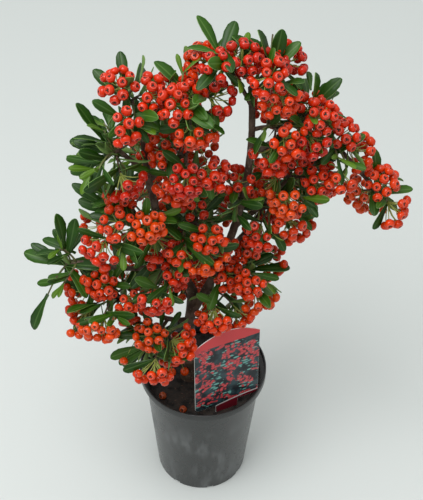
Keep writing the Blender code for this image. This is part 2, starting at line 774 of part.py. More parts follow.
def main():
    """Build the pot, the wood and the foliage."""
    clear_scene()
    plastic = make_material("black_plastic", (0.035, 0.035, 0.038), 0.5)
    soil = make_material("compost", (0.045, 0.030, 0.020), 0.95)
    paper = make_material("coated_card", (0.12, 0.16, 0.12), 0.45)
    bark = make_material("bark", (0.20, 0.12, 0.07), 0.8)
    green = make_material("leaf_green", (0.045, 0.13, 0.03), 0.4)
    red = make_material("berry_red", (0.75, 0.09, 0.02), 0.3)
    finishes = {"twig": bark, "leaf": green, "berry": red, "stalk": green}
    make_pot(plastic)
    make_compost(soil)
    make_card(paper)
    for name in LIMBS:
        make_limb(name, bark)
    limbs, stems = grown_wood()
    for name in MASSES:
        others = [tree for stem_name, tree in stems.items() if stem_name != name]
        make_mass(name, limbs + others, finishes)


main()
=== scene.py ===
# %% [markdown]
# # A firethorn in its pot
# This lesson dresses a plain solid model of a potted firethorn. The solids give the size and the
# place of every part. Here they get their looks: a pot with a rolled lip, loose compost, rough
# bark, more than a thousand leaves and berries, and a printed card.
#
# The solids come in as a fixed frame in metres, with +Z up and the middle of the pot's underside
# at the origin. They are never moved. Where a solid is too plain, a new piece stands in for it.

# %% Load the solids
import json
import math
import random
from collections import namedtuple

import bpy
import numpy as np
from mathutils import Matrix, Quaternion, Vector, noise

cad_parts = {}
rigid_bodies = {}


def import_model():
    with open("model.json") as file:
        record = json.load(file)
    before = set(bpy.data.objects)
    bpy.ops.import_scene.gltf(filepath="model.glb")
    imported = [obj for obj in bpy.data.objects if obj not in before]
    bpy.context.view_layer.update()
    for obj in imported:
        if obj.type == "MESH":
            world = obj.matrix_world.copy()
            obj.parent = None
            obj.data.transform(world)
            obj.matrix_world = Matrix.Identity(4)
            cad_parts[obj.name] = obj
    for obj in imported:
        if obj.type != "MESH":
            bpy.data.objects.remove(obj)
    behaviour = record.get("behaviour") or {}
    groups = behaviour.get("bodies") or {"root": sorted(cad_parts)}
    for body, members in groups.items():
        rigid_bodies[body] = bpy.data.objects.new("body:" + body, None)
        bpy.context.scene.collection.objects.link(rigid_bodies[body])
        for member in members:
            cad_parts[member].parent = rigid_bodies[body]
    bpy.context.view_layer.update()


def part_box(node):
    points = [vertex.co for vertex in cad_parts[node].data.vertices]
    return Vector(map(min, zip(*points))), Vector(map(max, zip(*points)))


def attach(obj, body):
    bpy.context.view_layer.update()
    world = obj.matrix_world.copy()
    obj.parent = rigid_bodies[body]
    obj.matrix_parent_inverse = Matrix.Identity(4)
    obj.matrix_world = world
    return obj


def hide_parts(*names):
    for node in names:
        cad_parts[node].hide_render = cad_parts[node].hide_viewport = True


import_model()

# %% [markdown]
# ## Camera
# The shrub is seen from above and in front, at 45 degrees, by a camera about a metre away. A long
# lens keeps the pot's sides nearly parallel. The camera's own axes are worked out from its
# downward angle and its small roll, and written into its matrix, so no tracking is needed.

# %% Camera
CAMERA_PLACE = Vector((0.006, -0.714, 1.038))
CAMERA_DOWN = math.radians(45.1)
CAMERA_ROLL = math.radians(1.32)
CAMERA_LENS = 79.2
CAMERA_SENSOR = 36.0


def camera_axes():
    """The camera's right, up and backward directions."""
    ahead = Vector((0, math.cos(CAMERA_DOWN), -math.sin(CAMERA_DOWN)))
    roll = Quaternion(ahead, -CAMERA_ROLL)
    right = roll @ Vector((1, 0, 0))
    return right, right.cross(ahead), -ahead


bpy.ops.object.camera_add()
camera = bpy.context.object
camera.matrix_world = Matrix.Translation(CAMERA_PLACE) @ Matrix(camera_axes()).transposed().to_4x4()
camera.data.lens = CAMERA_LENS
camera.data.sensor_width = CAMERA_SENSOR
bpy.context.scene.camera = camera
print("camera at", tuple(CAMERA_PLACE))

# %% [markdown]
# ## Light and floor
# A plant like this is photographed in a white tent, where light comes from everywhere and shadows
# are faint. A world that is brighter overhead than at the horizon does most of that. One large
# lamp above, a little to the left, gives each berry its small highlight.

# %% Light and floor
HORIZON_LIGHT = 0.38
OVERHEAD_LIGHT = 0.96
LAMP_SIZE = 0.8
LAMP_POWER = 13.0
LAMP_PLACE = Vector((-0.40, -0.42, 1.62))
LAMP_TARGET = Vector((0.0, 0.0, 0.3))
FLOOR_SIZE = 8.0

world = bpy.data.worlds.new("tent")
world.use_nodes = True
world_nodes = world.node_tree.nodes
background = world_nodes["Background"]
background.inputs["Color"].default_value = (0.97, 1.0, 0.99, 1.0)
direction_node = world_nodes.new("ShaderNodeTexCoord")
height_node = world_nodes.new("ShaderNodeSeparateXYZ")
light_node = world_nodes.new("ShaderNodeMapRange")
light_node.inputs["To Min"].default_value = HORIZON_LIGHT
light_node.inputs["To Max"].default_value = OVERHEAD_LIGHT
world.node_tree.links.new(direction_node.outputs["Generated"], height_node.inputs[0])
world.node_tree.links.new(height_node.outputs["Z"], light_node.inputs["Value"])
world.node_tree.links.new(light_node.outputs["Result"], background.inputs["Strength"])
bpy.context.scene.view_settings.view_transform = "Standard"
bpy.context.scene.world = world

bpy.ops.object.light_add(type="AREA", location=LAMP_PLACE)
lamp = bpy.context.object
lamp.data.size = LAMP_SIZE
lamp.data.energy = LAMP_POWER
lamp.rotation_euler = (LAMP_TARGET - LAMP_PLACE).to_track_quat("-Z", "Y").to_euler()

bpy.ops.mesh.primitive_plane_add(size=FLOOR_SIZE)
floor = bpy.context.object
floor.name = "floor"
print("world, one lamp and a floor", FLOOR_SIZE, "m across")

# %% [markdown]
# ## Writing finishes as sums
# A finish is a small net of nodes. Long chains of Math nodes are hard to read, so a socket is
# wrapped in a class that knows plus, minus and times. An expression such as `1 - mask * 0.5` then
# adds its own nodes. The reflected forms are there for sums that start with a plain number.

# %% Sockets that can be added and multiplied
class Wire:
    """An output socket of a finish, to be used in sums."""

    def __init__(self, finish, socket):
        self.finish = finish
        self.socket = socket

    def __add__(self, other):
        return self.finish.sum("ADD", self, other)

    def __sub__(self, other):
        return self.finish.sum("SUBTRACT", self, other)

    def __rsub__(self, other):
        return self.finish.sum("SUBTRACT", other, self)

    def __mul__(self, other):
        return self.finish.sum("MULTIPLY", self, other)

    __radd__ = __add__
    __rmul__ = __mul__


print("sockets can be added, subtracted and multiplied")

# %% [markdown]
# The material itself is the other half. Every node comes from one method, which takes the node's
# type, its settings and what goes into its sockets. Noise, smooth steps, mixes of two colours and
# bumps are used all the time, so each has a short method of its own.

# %% Materials written in code
class Finish:
    """A Principled material that is written in code."""

    def __init__(self, name, colour=(0.5, 0.5, 0.5), **settings):
        self.material = bpy.data.materials.new(name)
        self.material.use_nodes = True
        self.tree = self.material.node_tree
        self.shader = self.tree.nodes["Principled BSDF"]
        self.put("Base Color", (*colour, 1.0))
        for socket, value in settings.items():
            self.put(socket.replace("_", " ").title().replace("Ior", "IOR"), value)

    def put(self, socket, value):
        """Set or link one of the shader's sockets."""
        self.fill(self.shader.inputs[socket], value)

    def fill(self, socket, value):
        """Set a socket to a value, or link a wire to it."""
        if isinstance(value, Wire):
            self.tree.links.new(value.socket, socket)
        else:
            socket.default_value = value

    def node(self, kind, output=0, settings=None, **inputs):
        """Add a node of any type and give one of its outputs as a wire."""
        node = self.tree.nodes.new(kind)
        for key, value in (settings or {}).items():
            setattr(node, key, value)
        for key, value in inputs.items():
            socket = node.inputs[int(key[1:])] if key[1:].isdigit() else node.inputs[key]
            self.fill(socket, value)
        return Wire(self, node.outputs[output])

    def sum(self, operation, first, second):
        """One Math node."""
        return self.node("ShaderNodeMath", settings={"operation": operation}, _0=first, _1=second)

    def place(self):
        """The Object coordinates."""
        return self.node("ShaderNodeTexCoord", output="Object")

    def noise(self, scale, detail=3.0, where=None):
        """Soft noise, from 0 to 1."""
        vector = where or self.place()
        return self.node("ShaderNodeTexNoise", Vector=vector, Scale=scale, Detail=detail)

    def between(self, value, low, high):
        """0 below low, 1 above high, and a smooth step between."""
        return self.node(
            "ShaderNodeMapRange", settings={"interpolation_type": "SMOOTHSTEP"},
            Value=value, _1=low, _2=high)

    def blend(self, factor, first, second):
        """A mix of two colours."""
        first = (*first, 1.0) if isinstance(first, tuple) else first
        second = (*second, 1.0) if isinstance(second, tuple) else second
        return self.node(
            "ShaderNodeMix", output=2, settings={"data_type": "RGBA"}, _0=factor, _6=first,
            _7=second)

    def bump(self, height, distance, strength=1.0):
        """Raise the surface by a height from 0 to 1 times the distance."""
        self.put("Normal", self.node(
            "ShaderNodeBump", Height=height, Distance=distance, Strength=strength))


floor_finish = Finish("tent_floor", colour=(0.69, 0.72, 0.705), roughness=0.9)
floor.data.materials.append(floor_finish.material)
print("finish kit ready")

# %% [markdown]
# ## Shaping round pieces
# The pot, the compost and each berry are round. A ring of edges is added at the foot of the
# profile, then extruded and scaled step by step, as by hand in edit mode. That gives clean
# rings of faces, with no seam and with no need to spin and merge.


# %% A ring that is extruded along a profile
def start_piece(name):
    """Name the piece that was just added, and open it for editing."""
    piece = bpy.context.object
    piece.name = name
    piece.data.name = name
    bpy.ops.object.mode_set(mode="EDIT")
    return piece


def close_piece(piece, *finishes):
    """Leave edit mode, settle the place into the mesh and give the piece its finishes."""
    bpy.ops.object.mode_set(mode="OBJECT")
    bpy.ops.object.transform_apply(location=True, rotation=True, scale=True)
    for finish in finishes:
        piece.data.materials.append(finish.material)
    print(piece.name, len(piece.data.polygons), "faces")
    return piece


def extrude_ring(profile, sides, name):
    """A round piece from (radius, height) points, closed by a face at each end."""
    bpy.ops.object.select_all(action="DESELECT")
    radius, height = profile[0]
    bpy.ops.mesh.primitive_circle_add(vertices=sides, radius=radius, location=(0, 0, height))
    piece = start_piece(name)
    for next_radius, next_height in profile[1:]:
        ratio = next_radius / radius
        bpy.ops.mesh.extrude_region_move(
            TRANSFORM_OT_translate={"value": (0, 0, next_height - height)})
        bpy.ops.transform.resize(value=(ratio, ratio, 1), center_override=(0, 0, next_height))
        radius, height = next_radius, next_height
    bpy.ops.mesh.select_all(action="DESELECT")
    bpy.ops.mesh.select_non_manifold()
    bpy.ops.mesh.edge_face_add()
    bpy.ops.mesh.select_all(action="SELECT")
    bpy.ops.mesh.normals_make_consistent(inside=False)
    return piece


print("ring tool ready")

# %% [markdown]
# ## The pot
# A nursery pot is a thin tapered cup of dark plastic with a narrow rolled lip. It could be a
# cylinder with its top scaled, but the lip's round edges are what the eye sees, so the wall is
# extruded along a profile that turns round the lip and goes down inside. Drainage slots are cut
# round the foot with small boxes.

# %% Pot shape
POT_HEIGHT = 0.1542
LIP_R = 0.065
LIP_HEIGHT = 0.0085
WALL_TOP_R = 0.0598
FOOT_R = 0.048
WALL = 0.0016
POT_SIDES = 96
SLOTS = 8
SLOT_SIZE = (0.0050, 0.0070, 0.0042)
UNDER_LIP = POT_HEIGHT - LIP_HEIGHT
ROUND = 0.0008
RECESS = 0.0012
FLOOR = 0.0024
MIDDLE_R = 0.004
RIM_INNER_R = FOOT_R - 0.006
RIM_OUTER_R = FOOT_R - 0.005
LIP_INNER_R = LIP_R - WALL
SLOT_TURN = 0.22 - math.pi / 2
SLOT_SINK = 0.001
SMOOTH_ANGLE = math.radians(40)

pot_profile = [
    (MIDDLE_R, RECESS), (RIM_INNER_R, RECESS), (RIM_OUTER_R, 0.0), (FOOT_R - ROUND, 0.0),
    (FOOT_R, ROUND), (WALL_TOP_R, UNDER_LIP), (LIP_R - ROUND, UNDER_LIP),
    (LIP_R, UNDER_LIP + ROUND), (LIP_R, POT_HEIGHT - ROUND),
    (LIP_R - ROUND * 0.3, POT_HEIGHT - ROUND * 0.3), (LIP_R - ROUND, POT_HEIGHT),
    (LIP_INNER_R + ROUND * 0.25, POT_HEIGHT - ROUND * 0.125), (LIP_INNER_R, POT_HEIGHT - ROUND),
    (LIP_INNER_R, UNDER_LIP + WALL + ROUND), (LIP_INNER_R - ROUND, UNDER_LIP + WALL),
    (WALL_TOP_R - WALL + ROUND, UNDER_LIP), (WALL_TOP_R - WALL, UNDER_LIP - WALL),
    (FOOT_R - WALL, FLOOR), (MIDDLE_R, FLOOR)]
pot = extrude_ring(pot_profile, POT_SIDES, "nursery_pot")
bpy.ops.object.mode_set(mode="OBJECT")
for k in range(SLOTS):
    angle = 2 * math.pi * k / SLOTS + SLOT_TURN
    place = (FOOT_R * math.cos(angle), FOOT_R * math.sin(angle), SLOT_SIZE[2] / 2 - SLOT_SINK)
    bpy.ops.mesh.primitive_cube_add(size=1, location=place, rotation=(0, 0, angle), scale=SLOT_SIZE)
    slot_cutter = bpy.context.object
    cut = pot.modifiers.new("slot", "BOOLEAN")
    cut.operation = "DIFFERENCE"
    cut.object = slot_cutter
    bpy.context.view_layer.objects.active = pot
    bpy.ops.object.modifier_apply(modifier=cut.name)
    bpy.data.objects.remove(slot_cutter)
bpy.ops.object.select_all(action="DESELECT")
pot.select_set(True)
bpy.ops.object.shade_smooth_by_angle(angle=SMOOTH_ANGLE)
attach(pot, "root")
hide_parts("pot")
print("pot", len(pot.data.polygons), "faces")

# %% [markdown]
# The plastic is charcoal, not black. It is moulded, so it has a very fine orange-peel surface,
# and handling leaves paler upright scuffs low on the wall. The scuffs are noise that is
# stretched along the height and kept to soft patches.

# %% Pot plastic
pot_plastic = Finish("pot_plastic", colour=(0.05, 0.05, 0.05), specular_ior_level=0.6)
stretched = pot_plastic.node("ShaderNodeMapping", Vector=pot_plastic.place(), Scale=(1, 1, 0.30))
streaks = pot_plastic.noise(85.0, detail=2.0, where=stretched)
patches = pot_plastic.noise(20.0, detail=1.0)
upward = pot_plastic.node("ShaderNodeSeparateXYZ", output="Z", _0=pot_plastic.place())
low_down = 1 - pot_plastic.between(upward, 0.08, 0.125)
scuffs = pot_plastic.between(streaks, 0.44, 0.66) * pot_plastic.between(patches, 0.38, 0.60)
scuffs = scuffs * low_down
dust = pot_plastic.between(pot_plastic.noise(55.0, detail=6.0), 0.35, 0.75)
charcoal = pot_plastic.blend(dust * 0.6, (0.010, 0.011, 0.011), (0.019, 0.020, 0.020))
pot_plastic.put("Base Color", pot_plastic.blend(scuffs * 0.8, charcoal, (0.125, 0.130, 0.133)))
pot_plastic.put("Roughness", 0.26 + scuffs * 0.22 + dust * 0.05)
pot_plastic.bump(pot_plastic.noise(900.0, detail=2.0), 0.00012, 0.35)
pot.data.materials.append(pot_plastic.material)
print("pot plastic with scuffs")

# %% [markdown]
# ## The compost
# Potting compost is dark, damp and crumbly, and settles a little below the lip. The plug starts
# as an extruded ring. Its top face is inset again and again, which gives rings of faces, and
# these are pushed up and down by two sizes of noise. The edge stays level against the wall.

# %% Compost surface
COMPOST_TOP = 0.138
COMPOST_GAP = 0.0005
COMPOST_LOW = 0.0030
COMPOST_SIDES = 72
COMPOST_RINGS = 20
LUMP = 0.0026
LUMP_SCALE = 70
CRUMB_SCALE = 260
LEVEL_EDGE = 0.004
SETTLED = 0.25
FACES_UP = 0.9


def inner_wall(height):
    """The pot's inner radius at a height below the lip."""
    return FOOT_R + (WALL_TOP_R - FOOT_R) * height / UNDER_LIP - WALL


COMPOST_R = inner_wall(COMPOST_TOP) - COMPOST_GAP


def lumpy(x, y):
    """How high the compost lies above its level."""
    coarse = noise.noise(Vector((x * LUMP_SCALE, y * LUMP_SCALE, 0.5)))
    fine = noise.noise(Vector((x * CRUMB_SCALE, y * CRUMB_SCALE, 3.5)))
    edge = min(1.0, max(0.0, (COMPOST_R - math.hypot(x, y)) / LEVEL_EDGE))
    return LUMP * ((0.7 * coarse + 0.3 * fine) * edge - SETTLED)


compost_profile = [
    (MIDDLE_R, COMPOST_LOW), (inner_wall(COMPOST_LOW) - COMPOST_GAP, COMPOST_LOW),
    (COMPOST_R, COMPOST_TOP)]
compost = extrude_ring(compost_profile, COMPOST_SIDES, "compost_plug")
bpy.ops.mesh.select_all(action="DESELECT")
bpy.ops.object.mode_set(mode="OBJECT")
for face in compost.data.polygons:
    face.select = face.normal.z > FACES_UP
bpy.ops.object.mode_set(mode="EDIT")
for _ in range(COMPOST_RINGS):
    bpy.ops.mesh.inset(thickness=COMPOST_R / (COMPOST_RINGS + 1), depth=0)
bpy.ops.mesh.poke()
bpy.ops.object.mode_set(mode="OBJECT")
for vertex in compost.data.vertices:
    if vertex.co.z > COMPOST_TOP - 0.001:
        vertex.co.z = COMPOST_TOP + lumpy(vertex.co.x, vertex.co.y)
compost.data.shade_smooth()
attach(compost, "root")
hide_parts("compost")
print("compost", len(compost.data.polygons), "faces")

# %% [markdown]
# Damp compost is almost black, with brown fibres and small paler bits of bark. Two sizes of noise
# mix three browns, and the same noise gives the fine relief. It has no gloss apart from a few
# wet spots.

# %% Compost finish
compost_finish = Finish("damp_compost", colour=(0.02, 0.013, 0.009), roughness=0.95)
crumbs = compost_finish.noise(420.0, detail=5.0)
fibres = compost_finish.noise(150.0, detail=2.0)
dark_brown = compost_finish.blend(
    compost_finish.between(fibres, 0.35, 0.7), (0.006, 0.004, 0.003), (0.020, 0.012, 0.007))
compost_finish.put("Base Color", compost_finish.blend(
    compost_finish.between(crumbs, 0.62, 0.72), dark_brown, (0.085, 0.048, 0.026)))
compost_finish.put("Roughness", 1.0 - compost_finish.between(fibres, 0.3, 0.5) * 0.25)
compost_finish.bump(crumbs, 0.0012, 0.9)
compost.data.materials.append(compost_finish.material)
print("compost finish")

# %% [markdown]
# ## The card
# Growers push a printed card into the pot. It is stiff coated paper on a narrow foot, with an
# arched top. A flat plane could be cut to the outline, but a card has a white edge that catches
# the light, so its outline is one face that gets a thickness and a tiny bevel.

# %% Card shape
CARD_WIDTH = 0.0686
CARD_HEIGHT = 0.1148
CARD_THICK = 0.0008
CARD_CORNER = 0.004
CARD_CORNER_STEPS = 4
CARD_BEVEL = 0.00018
CARD_ARCH = 0.013
CARD_ARCH_STEPS = 24
CARD_FOOT_WIDTH = 0.024
CARD_FOOT_HEIGHT = 0.0108


def card_outline():
    """The card's outline in its own plane, from its foot round to its arched top."""
    half = CARD_WIDTH / 2
    foot = CARD_FOOT_WIDTH / 2
    low = CARD_FOOT_HEIGHT
    right = [(foot, 0), (foot, low), (half - CARD_CORNER, low)]
    for k in range(1, CARD_CORNER_STEPS + 1):
        angle = (k / CARD_CORNER_STEPS - 1) * math.pi / 2
        right.append((half - CARD_CORNER * (1 - math.cos(angle)),
                      low + CARD_CORNER * (1 + math.sin(angle))))
    top = []
    for k in range(CARD_ARCH_STEPS + 1):
        x = half * (1 - 2 * k / CARD_ARCH_STEPS)
        top.append((x, CARD_HEIGHT - CARD_ARCH * (x / half) ** 2))
    return right + top + [(-x, z) for x, z in reversed(right)]


def outline_object(name, outline):
    """A flat face with the given outline, standing in the X-Z plane."""
    bpy.ops.object.select_all(action="DESELECT")
    bpy.ops.mesh.primitive_circle_add(vertices=len(outline), fill_type="NGON")
    piece = bpy.context.object
    piece.name = name
    for vertex, (x, z) in zip(piece.data.vertices, outline):
        vertex.co = (x, 0.0, z)
    return piece


def finish_with(piece, kind, **settings):
    """Add a modifier with its settings and apply it."""
    modifier = piece.modifiers.new(kind.lower(), kind)
    for key, value in settings.items():
        setattr(modifier, key, value)
    bpy.context.view_layer.objects.active = piece
    bpy.ops.object.modifier_apply(modifier=modifier.name)


card = outline_object("printed_card", card_outline())
finish_with(card, "SOLIDIFY", thickness=CARD_THICK, offset=0.0)
finish_with(card, "BEVEL", width=CARD_BEVEL, segments=2, limit_method="ANGLE")
bpy.ops.object.mode_set(mode="EDIT")
bpy.ops.mesh.select_all(action="SELECT")
bpy.ops.mesh.normals_make_consistent(inside=False)
bpy.ops.object.mode_set(mode="OBJECT")
print("card", len(card.data.polygons), "faces")

# %% [markdown]
# The print has a red head, and under it a dark field with a scatter of round red fruit and pale
# leaves. Low down, a thin pale line curves across it, with dark red below. It has no words. A
# pattern on Object coordinates would be hard to aim at a leaning card, so the card gets its own UV
# map while it still stands straight: across is the width and up is the height.

# %% Card print
card_uv = card.data.uv_layers.new(name="print")
for loop in card.data.loops:
    point = card.data.vertices[loop.vertex_index].co
    card_uv.data[loop.index].uv = (point.x / CARD_WIDTH + 0.5, point.z / CARD_HEIGHT)

HEAD_LINE = 0.852
LOWER_ARC = 0.045
ARC_RISE = 0.17
ARC_BEND = -0.075
SQUARED = 1.69
print_finish = Finish("card_print", roughness=0.4, specular_ior_level=0.3)
across = print_finish.node("ShaderNodeUVMap", settings={"uv_map": "print"})
width_share = print_finish.node("ShaderNodeSeparateXYZ", output="X", _0=across)
height_share = print_finish.node("ShaderNodeSeparateXYZ", output="Y", _0=across)


def print_dots(scale, size, where):
    """Round dots, one in each cell of a Voronoi pattern."""
    dots = print_finish.node(
        "ShaderNodeTexVoronoi", Vector=where, Scale=scale, Randomness=0.8)
    return 1 - print_finish.between(dots, size * 0.8, size)


square = print_finish.node("ShaderNodeMapping", Vector=across, Scale=(1, SQUARED, 1))
slanted = print_finish.node(
    "ShaderNodeMapping", Vector=across, Scale=(1.0, 4.2, 1), Rotation=(0, 0, 0.75))
field_noise = print_finish.noise(6.0, detail=2.0, where=square)
field = print_finish.blend(
    print_finish.between(field_noise, 0.38, 0.64), (0.006, 0.010, 0.014), (0.030, 0.060, 0.070))
leaf_zone = print_finish.between(print_finish.noise(4.5, detail=0.0, where=square), 0.47, 0.53)
pale_leaves = print_dots(9.0, 0.46, slanted) * leaf_zone
field = print_finish.blend(pale_leaves, field, (0.14, 0.36, 0.32))
shifted = print_finish.node("ShaderNodeMapping", Vector=square, Location=(4.3, 1.7, 0))
spray_zone = print_finish.between(
    print_finish.noise(4.6, detail=1.0, where=shifted), 0.47, 0.51)
fruit = print_dots(20.0, 0.62, square) * spray_zone
glint = print_dots(20.0, 0.22, square) * spray_zone
field = print_finish.blend(fruit, field, (0.52, 0.050, 0.060))
field = print_finish.blend(glint * 0.7, field, (0.72, 0.22, 0.22))
arc = LOWER_ARC + ARC_RISE * width_share + ARC_BEND * (width_share * width_share)
above_arc = print_finish.between(height_share - arc, 0.0, 0.006)
field = print_finish.blend(1 - above_arc, field, (0.75, 0.72, 0.70))
above_foot = print_finish.between(height_share - arc, -0.012, -0.006)
field = print_finish.blend(1 - above_foot, field, (0.17, 0.008, 0.018))
head = print_finish.between(height_share, HEAD_LINE, HEAD_LINE + 0.004)
picture = print_finish.blend(head, field, (0.58, 0.045, 0.050))
print_finish.put("Base Color", picture)
print("card print, with its own UV map")

# %% [markdown]
# The cut edge and the back of the card are bare white board. The card was made upright, where its
# outline and its print are easy to write, so it still has to be turned, leaned, and moved until
# its middle is where the solid card has its middle.

# %% Card edge and place
CARD_TURN = math.radians(25)
CARD_LEAN = math.radians(2.4)
CARD_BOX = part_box("picture_card")
CARD_FRONT = -0.95
card_edge = Finish("card_edge", roughness=0.55)
card_fibres = card_edge.noise(900.0, detail=3.0)
card_edge.put("Base Color", card_edge.blend(card_fibres, (0.66, 0.66, 0.63), (0.76, 0.76, 0.74)))
card.data.materials.append(print_finish.material)
card.data.materials.append(card_edge.material)
for face in card.data.polygons:
    face.material_index = 0 if face.normal.y < CARD_FRONT else 1
turn = Matrix.Rotation(CARD_TURN, 4, "Z")
card.matrix_world = turn @ Matrix.Rotation(-CARD_LEAN, 4, "X")
bpy.ops.object.select_all(action="DESELECT")
card.select_set(True)
bpy.context.view_layer.objects.active = card
bpy.ops.object.transform_apply(location=True, rotation=True, scale=True)
card_low = Vector(np.min([vertex.co for vertex in card.data.vertices], axis=0))
card_high = Vector(np.max([vertex.co for vertex in card.data.vertices], axis=0))
card_shift = ((CARD_BOX[0] + CARD_BOX[1]) - (card_low + card_high)) / 2
bpy.ops.transform.translate(value=card_shift)
bpy.ops.object.transform_apply(location=True, rotation=True, scale=True)
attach(card, "root")
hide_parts("picture_card")
print("card stands from", round(CARD_BOX[0].z, 4), "to", round(CARD_BOX[1].z, 4))

# %% [markdown]
# ## Wood
# The shrub has a short trunk that forks into two leaders, and thin boughs that leave them. Each
# limb is a line that leaves its parent at a share of the parent's length, ends at its tip and is
# bowed at its middle, with a radius that narrows towards the tip. The same numbers shaped the
# solids, so the new wood lies where the old was.

# %% Lines of the wood
Limb = namedtuple("Limb", "parent share tip bow foot_r tip_r")
TRUNK_FOOT = Vector((-0.0135, 0.0, COMPOST_TOP))
TRUNK_FLARE = 1.75
TRUNK_FLARE_HEIGHT = 0.016
TRUNK_NECK = 1.08
LIMBS = {
    "trunk": Limb(None, 0, (-0.011, 0.002, 0.262), (-0.002, 0, 0), 0.0058, 0.0049),
    "left_leader": Limb("trunk", 1.0, (-0.052, -0.012, 0.487), (-0.012, 0, 0), 0.0044, 0.0024),
    "right_leader": Limb("trunk", 0.80, (0.035, 0.009, 0.500), (0.019, 0, 0), 0.0043, 0.0026),
    "left_shoulder_bough": Limb(
        "left_leader", 0.70, (-0.072, -0.017, 0.452), (-0.002, 0, 0.002), 0.0024, 0.0018),
    "left_arm_bough": Limb(
        "left_leader", 0.20, (-0.101, -0.020, 0.322), (0, 0, -0.009), 0.0030, 0.0019),
    "left_hip_bough": Limb(
        "trunk", 0.74, (-0.063, -0.022, 0.268), (0, 0, -0.007), 0.0028, 0.0019),
    "right_arm_bough": Limb(
        "right_leader", 0.74, (0.134, 0.020, 0.404), (0.002, 0, 0.030), 0.0030, 0.0019),
    "right_waist_bough": Limb(
        "right_leader", 0.44, (0.064, 0.017, 0.383), (0, 0, -0.003), 0.0026, 0.0019),
    "back_left_bough": Limb(
        "left_leader", 0.32, (-0.045, 0.036, 0.368), (-0.004, 0, -0.004), 0.0026, 0.0019),
    "back_right_bough": Limb(
        "right_leader", 0.30, (0.054, 0.038, 0.342), (0.003, 0.004, -0.003), 0.0026, 0.0019),
    "back_low_bough": Limb(
        "trunk", 0.66, (-0.016, 0.034, 0.262), (0, 0.003, -0.004), 0.0027, 0.0019),
}
LIMB_STEP = 0.030


def bowed(start, end, bow, steps):
    """Points along a line from start to end that is bowed sideways at its middle."""
    points = []
    for i in range(steps + 1):
        t = i / steps
        points.append(start.lerp(end, t) + bow * (4 * t * (1 - t)))
    return points


def at_share(points, share):
    """The point and the direction at a share of a line of points."""
    place = share * (len(points) - 1)
    i = min(int(place), len(points) - 2)
    step = points[i + 1] - points[i]
    return points[i] + step * (place - i), step.normalized()


def limb_line(name):
    """The points and the radii of a limb, from its foot to its tip."""
    limb = LIMBS[name]
    foot = TRUNK_FOOT
    if limb.parent:
        foot, _ = at_share(limb_line(limb.parent)[0], limb.share)
    tip = Vector(limb.tip)
    steps = max(4, round((tip - foot).length / LIMB_STEP))
    points = bowed(foot, tip, Vector(limb.bow), steps)
    radii = [limb.foot_r + (limb.tip_r - limb.foot_r) * i / steps for i in range(steps + 1)]
    if limb.parent is None:
        points.insert(1, foot + Vector((0, 0, TRUNK_FLARE_HEIGHT)))
        radii.insert(1, limb.foot_r * TRUNK_NECK)
        radii[0] = limb.foot_r * TRUNK_FLARE
    return points, radii


print(len(LIMBS), "limbs")

# %% [markdown]
# A limb could be a cylinder that is bent, but its line is already known. So one vertex is
# extruded along the line, the chain of edges is turned into a curve, and the curve gets a round
# section with a radius at each point. The line is smoothed first, with its points close
# together, so that the finished mesh has enough rings to carry bark.

# %% Rods along a line
BEVEL_STEPS = 5


def refine(points, radii, step):
    """The same line with points close together, and a radius at each."""
    fine_points, fine_radii = [], []
    for i in range(len(points) - 1):
        count = max(1, round((points[i + 1] - points[i]).length / step))
        before = points[max(i - 1, 0)]
        after = points[min(i + 2, len(points) - 1)]
        start_pull = (points[i + 1] - before) / 2
        end_pull = (after - points[i]) / 2
        for k in range(count):
            t = k / count
            fine_points.append(
                points[i] * (2 * t ** 3 - 3 * t ** 2 + 1) + start_pull * (t ** 3 - 2 * t ** 2 + t)
                + points[i + 1] * (3 * t ** 2 - 2 * t ** 3) + end_pull * (t ** 3 - t ** 2))
            fine_radii.append(radii[i] + (radii[i + 1] - radii[i]) * t)
    return fine_points + [points[-1]], fine_radii + [radii[-1]]


def make_rod(name, points, radii):
    """A round rod along a line of points, by way of a curve."""
    bpy.ops.object.select_all(action="DESELECT")
    bpy.ops.mesh.primitive_plane_add(size=0.001, location=points[0])
    start_piece(name)
    bpy.ops.mesh.merge(type="CENTER")
    for here, there in zip(points, points[1:]):
        bpy.ops.mesh.extrude_vertices_move(TRANSFORM_OT_translate={"value": there - here})
    bpy.ops.object.mode_set(mode="OBJECT")
    bpy.ops.object.transform_apply(location=True, rotation=True, scale=True)
    bpy.ops.object.convert(target="CURVE")
    rod = bpy.context.object
    rod.data.dimensions = "3D"
    rod.data.bevel_depth = 1.0
    rod.data.bevel_resolution = BEVEL_STEPS
    rod.data.use_fill_caps = True
    for point in rod.data.splines[0].points:
        nearest = min(range(len(points)), key=lambda i: (points[i] - point.co.xyz).length)
        point.radius = radii[nearest]
    bpy.ops.object.convert(target="MESH")
    return bpy.context.object


print("rods by way of a curve")

# %% [markdown]
# Bark has shallow ridges that run along the limb, and a finer grain between them. Two noises push
# the rod's points in and out, so that the relief shows at the edges too. A limb also swells where
# it leaves its parent, so its first few millimetres are widened to a collar.

# %% Limbs with bark
BARK_STEP = 0.0022
BARK_RIDGE = 0.10
BARK_GRAIN = 0.05
RIDGE_ACROSS = 420
RIDGE_ALONG = 60
GRAIN_SCALE = 900
COLLAR = 0.30
COLLAR_LENGTH = 0.007


def roughen(piece, points, radii):
    """Push the bark in and out along the rod's own radius."""
    lines = np.array([tuple(p) for p in points])
    for vertex in piece.data.vertices:
        gaps = np.linalg.norm(lines - np.array(vertex.co), axis=1)
        i = int(gaps.argmin())
        out = vertex.co - points[i]
        x, y, z = vertex.co
        ridge = noise.noise(Vector((x * RIDGE_ACROSS, y * RIDGE_ACROSS, z * RIDGE_ALONG)))
        grain = noise.noise(Vector((x * GRAIN_SCALE, y * GRAIN_SCALE, z * GRAIN_SCALE)))
        vertex.co = points[i] + out * (1 + BARK_RIDGE * ridge + BARK_GRAIN * grain)


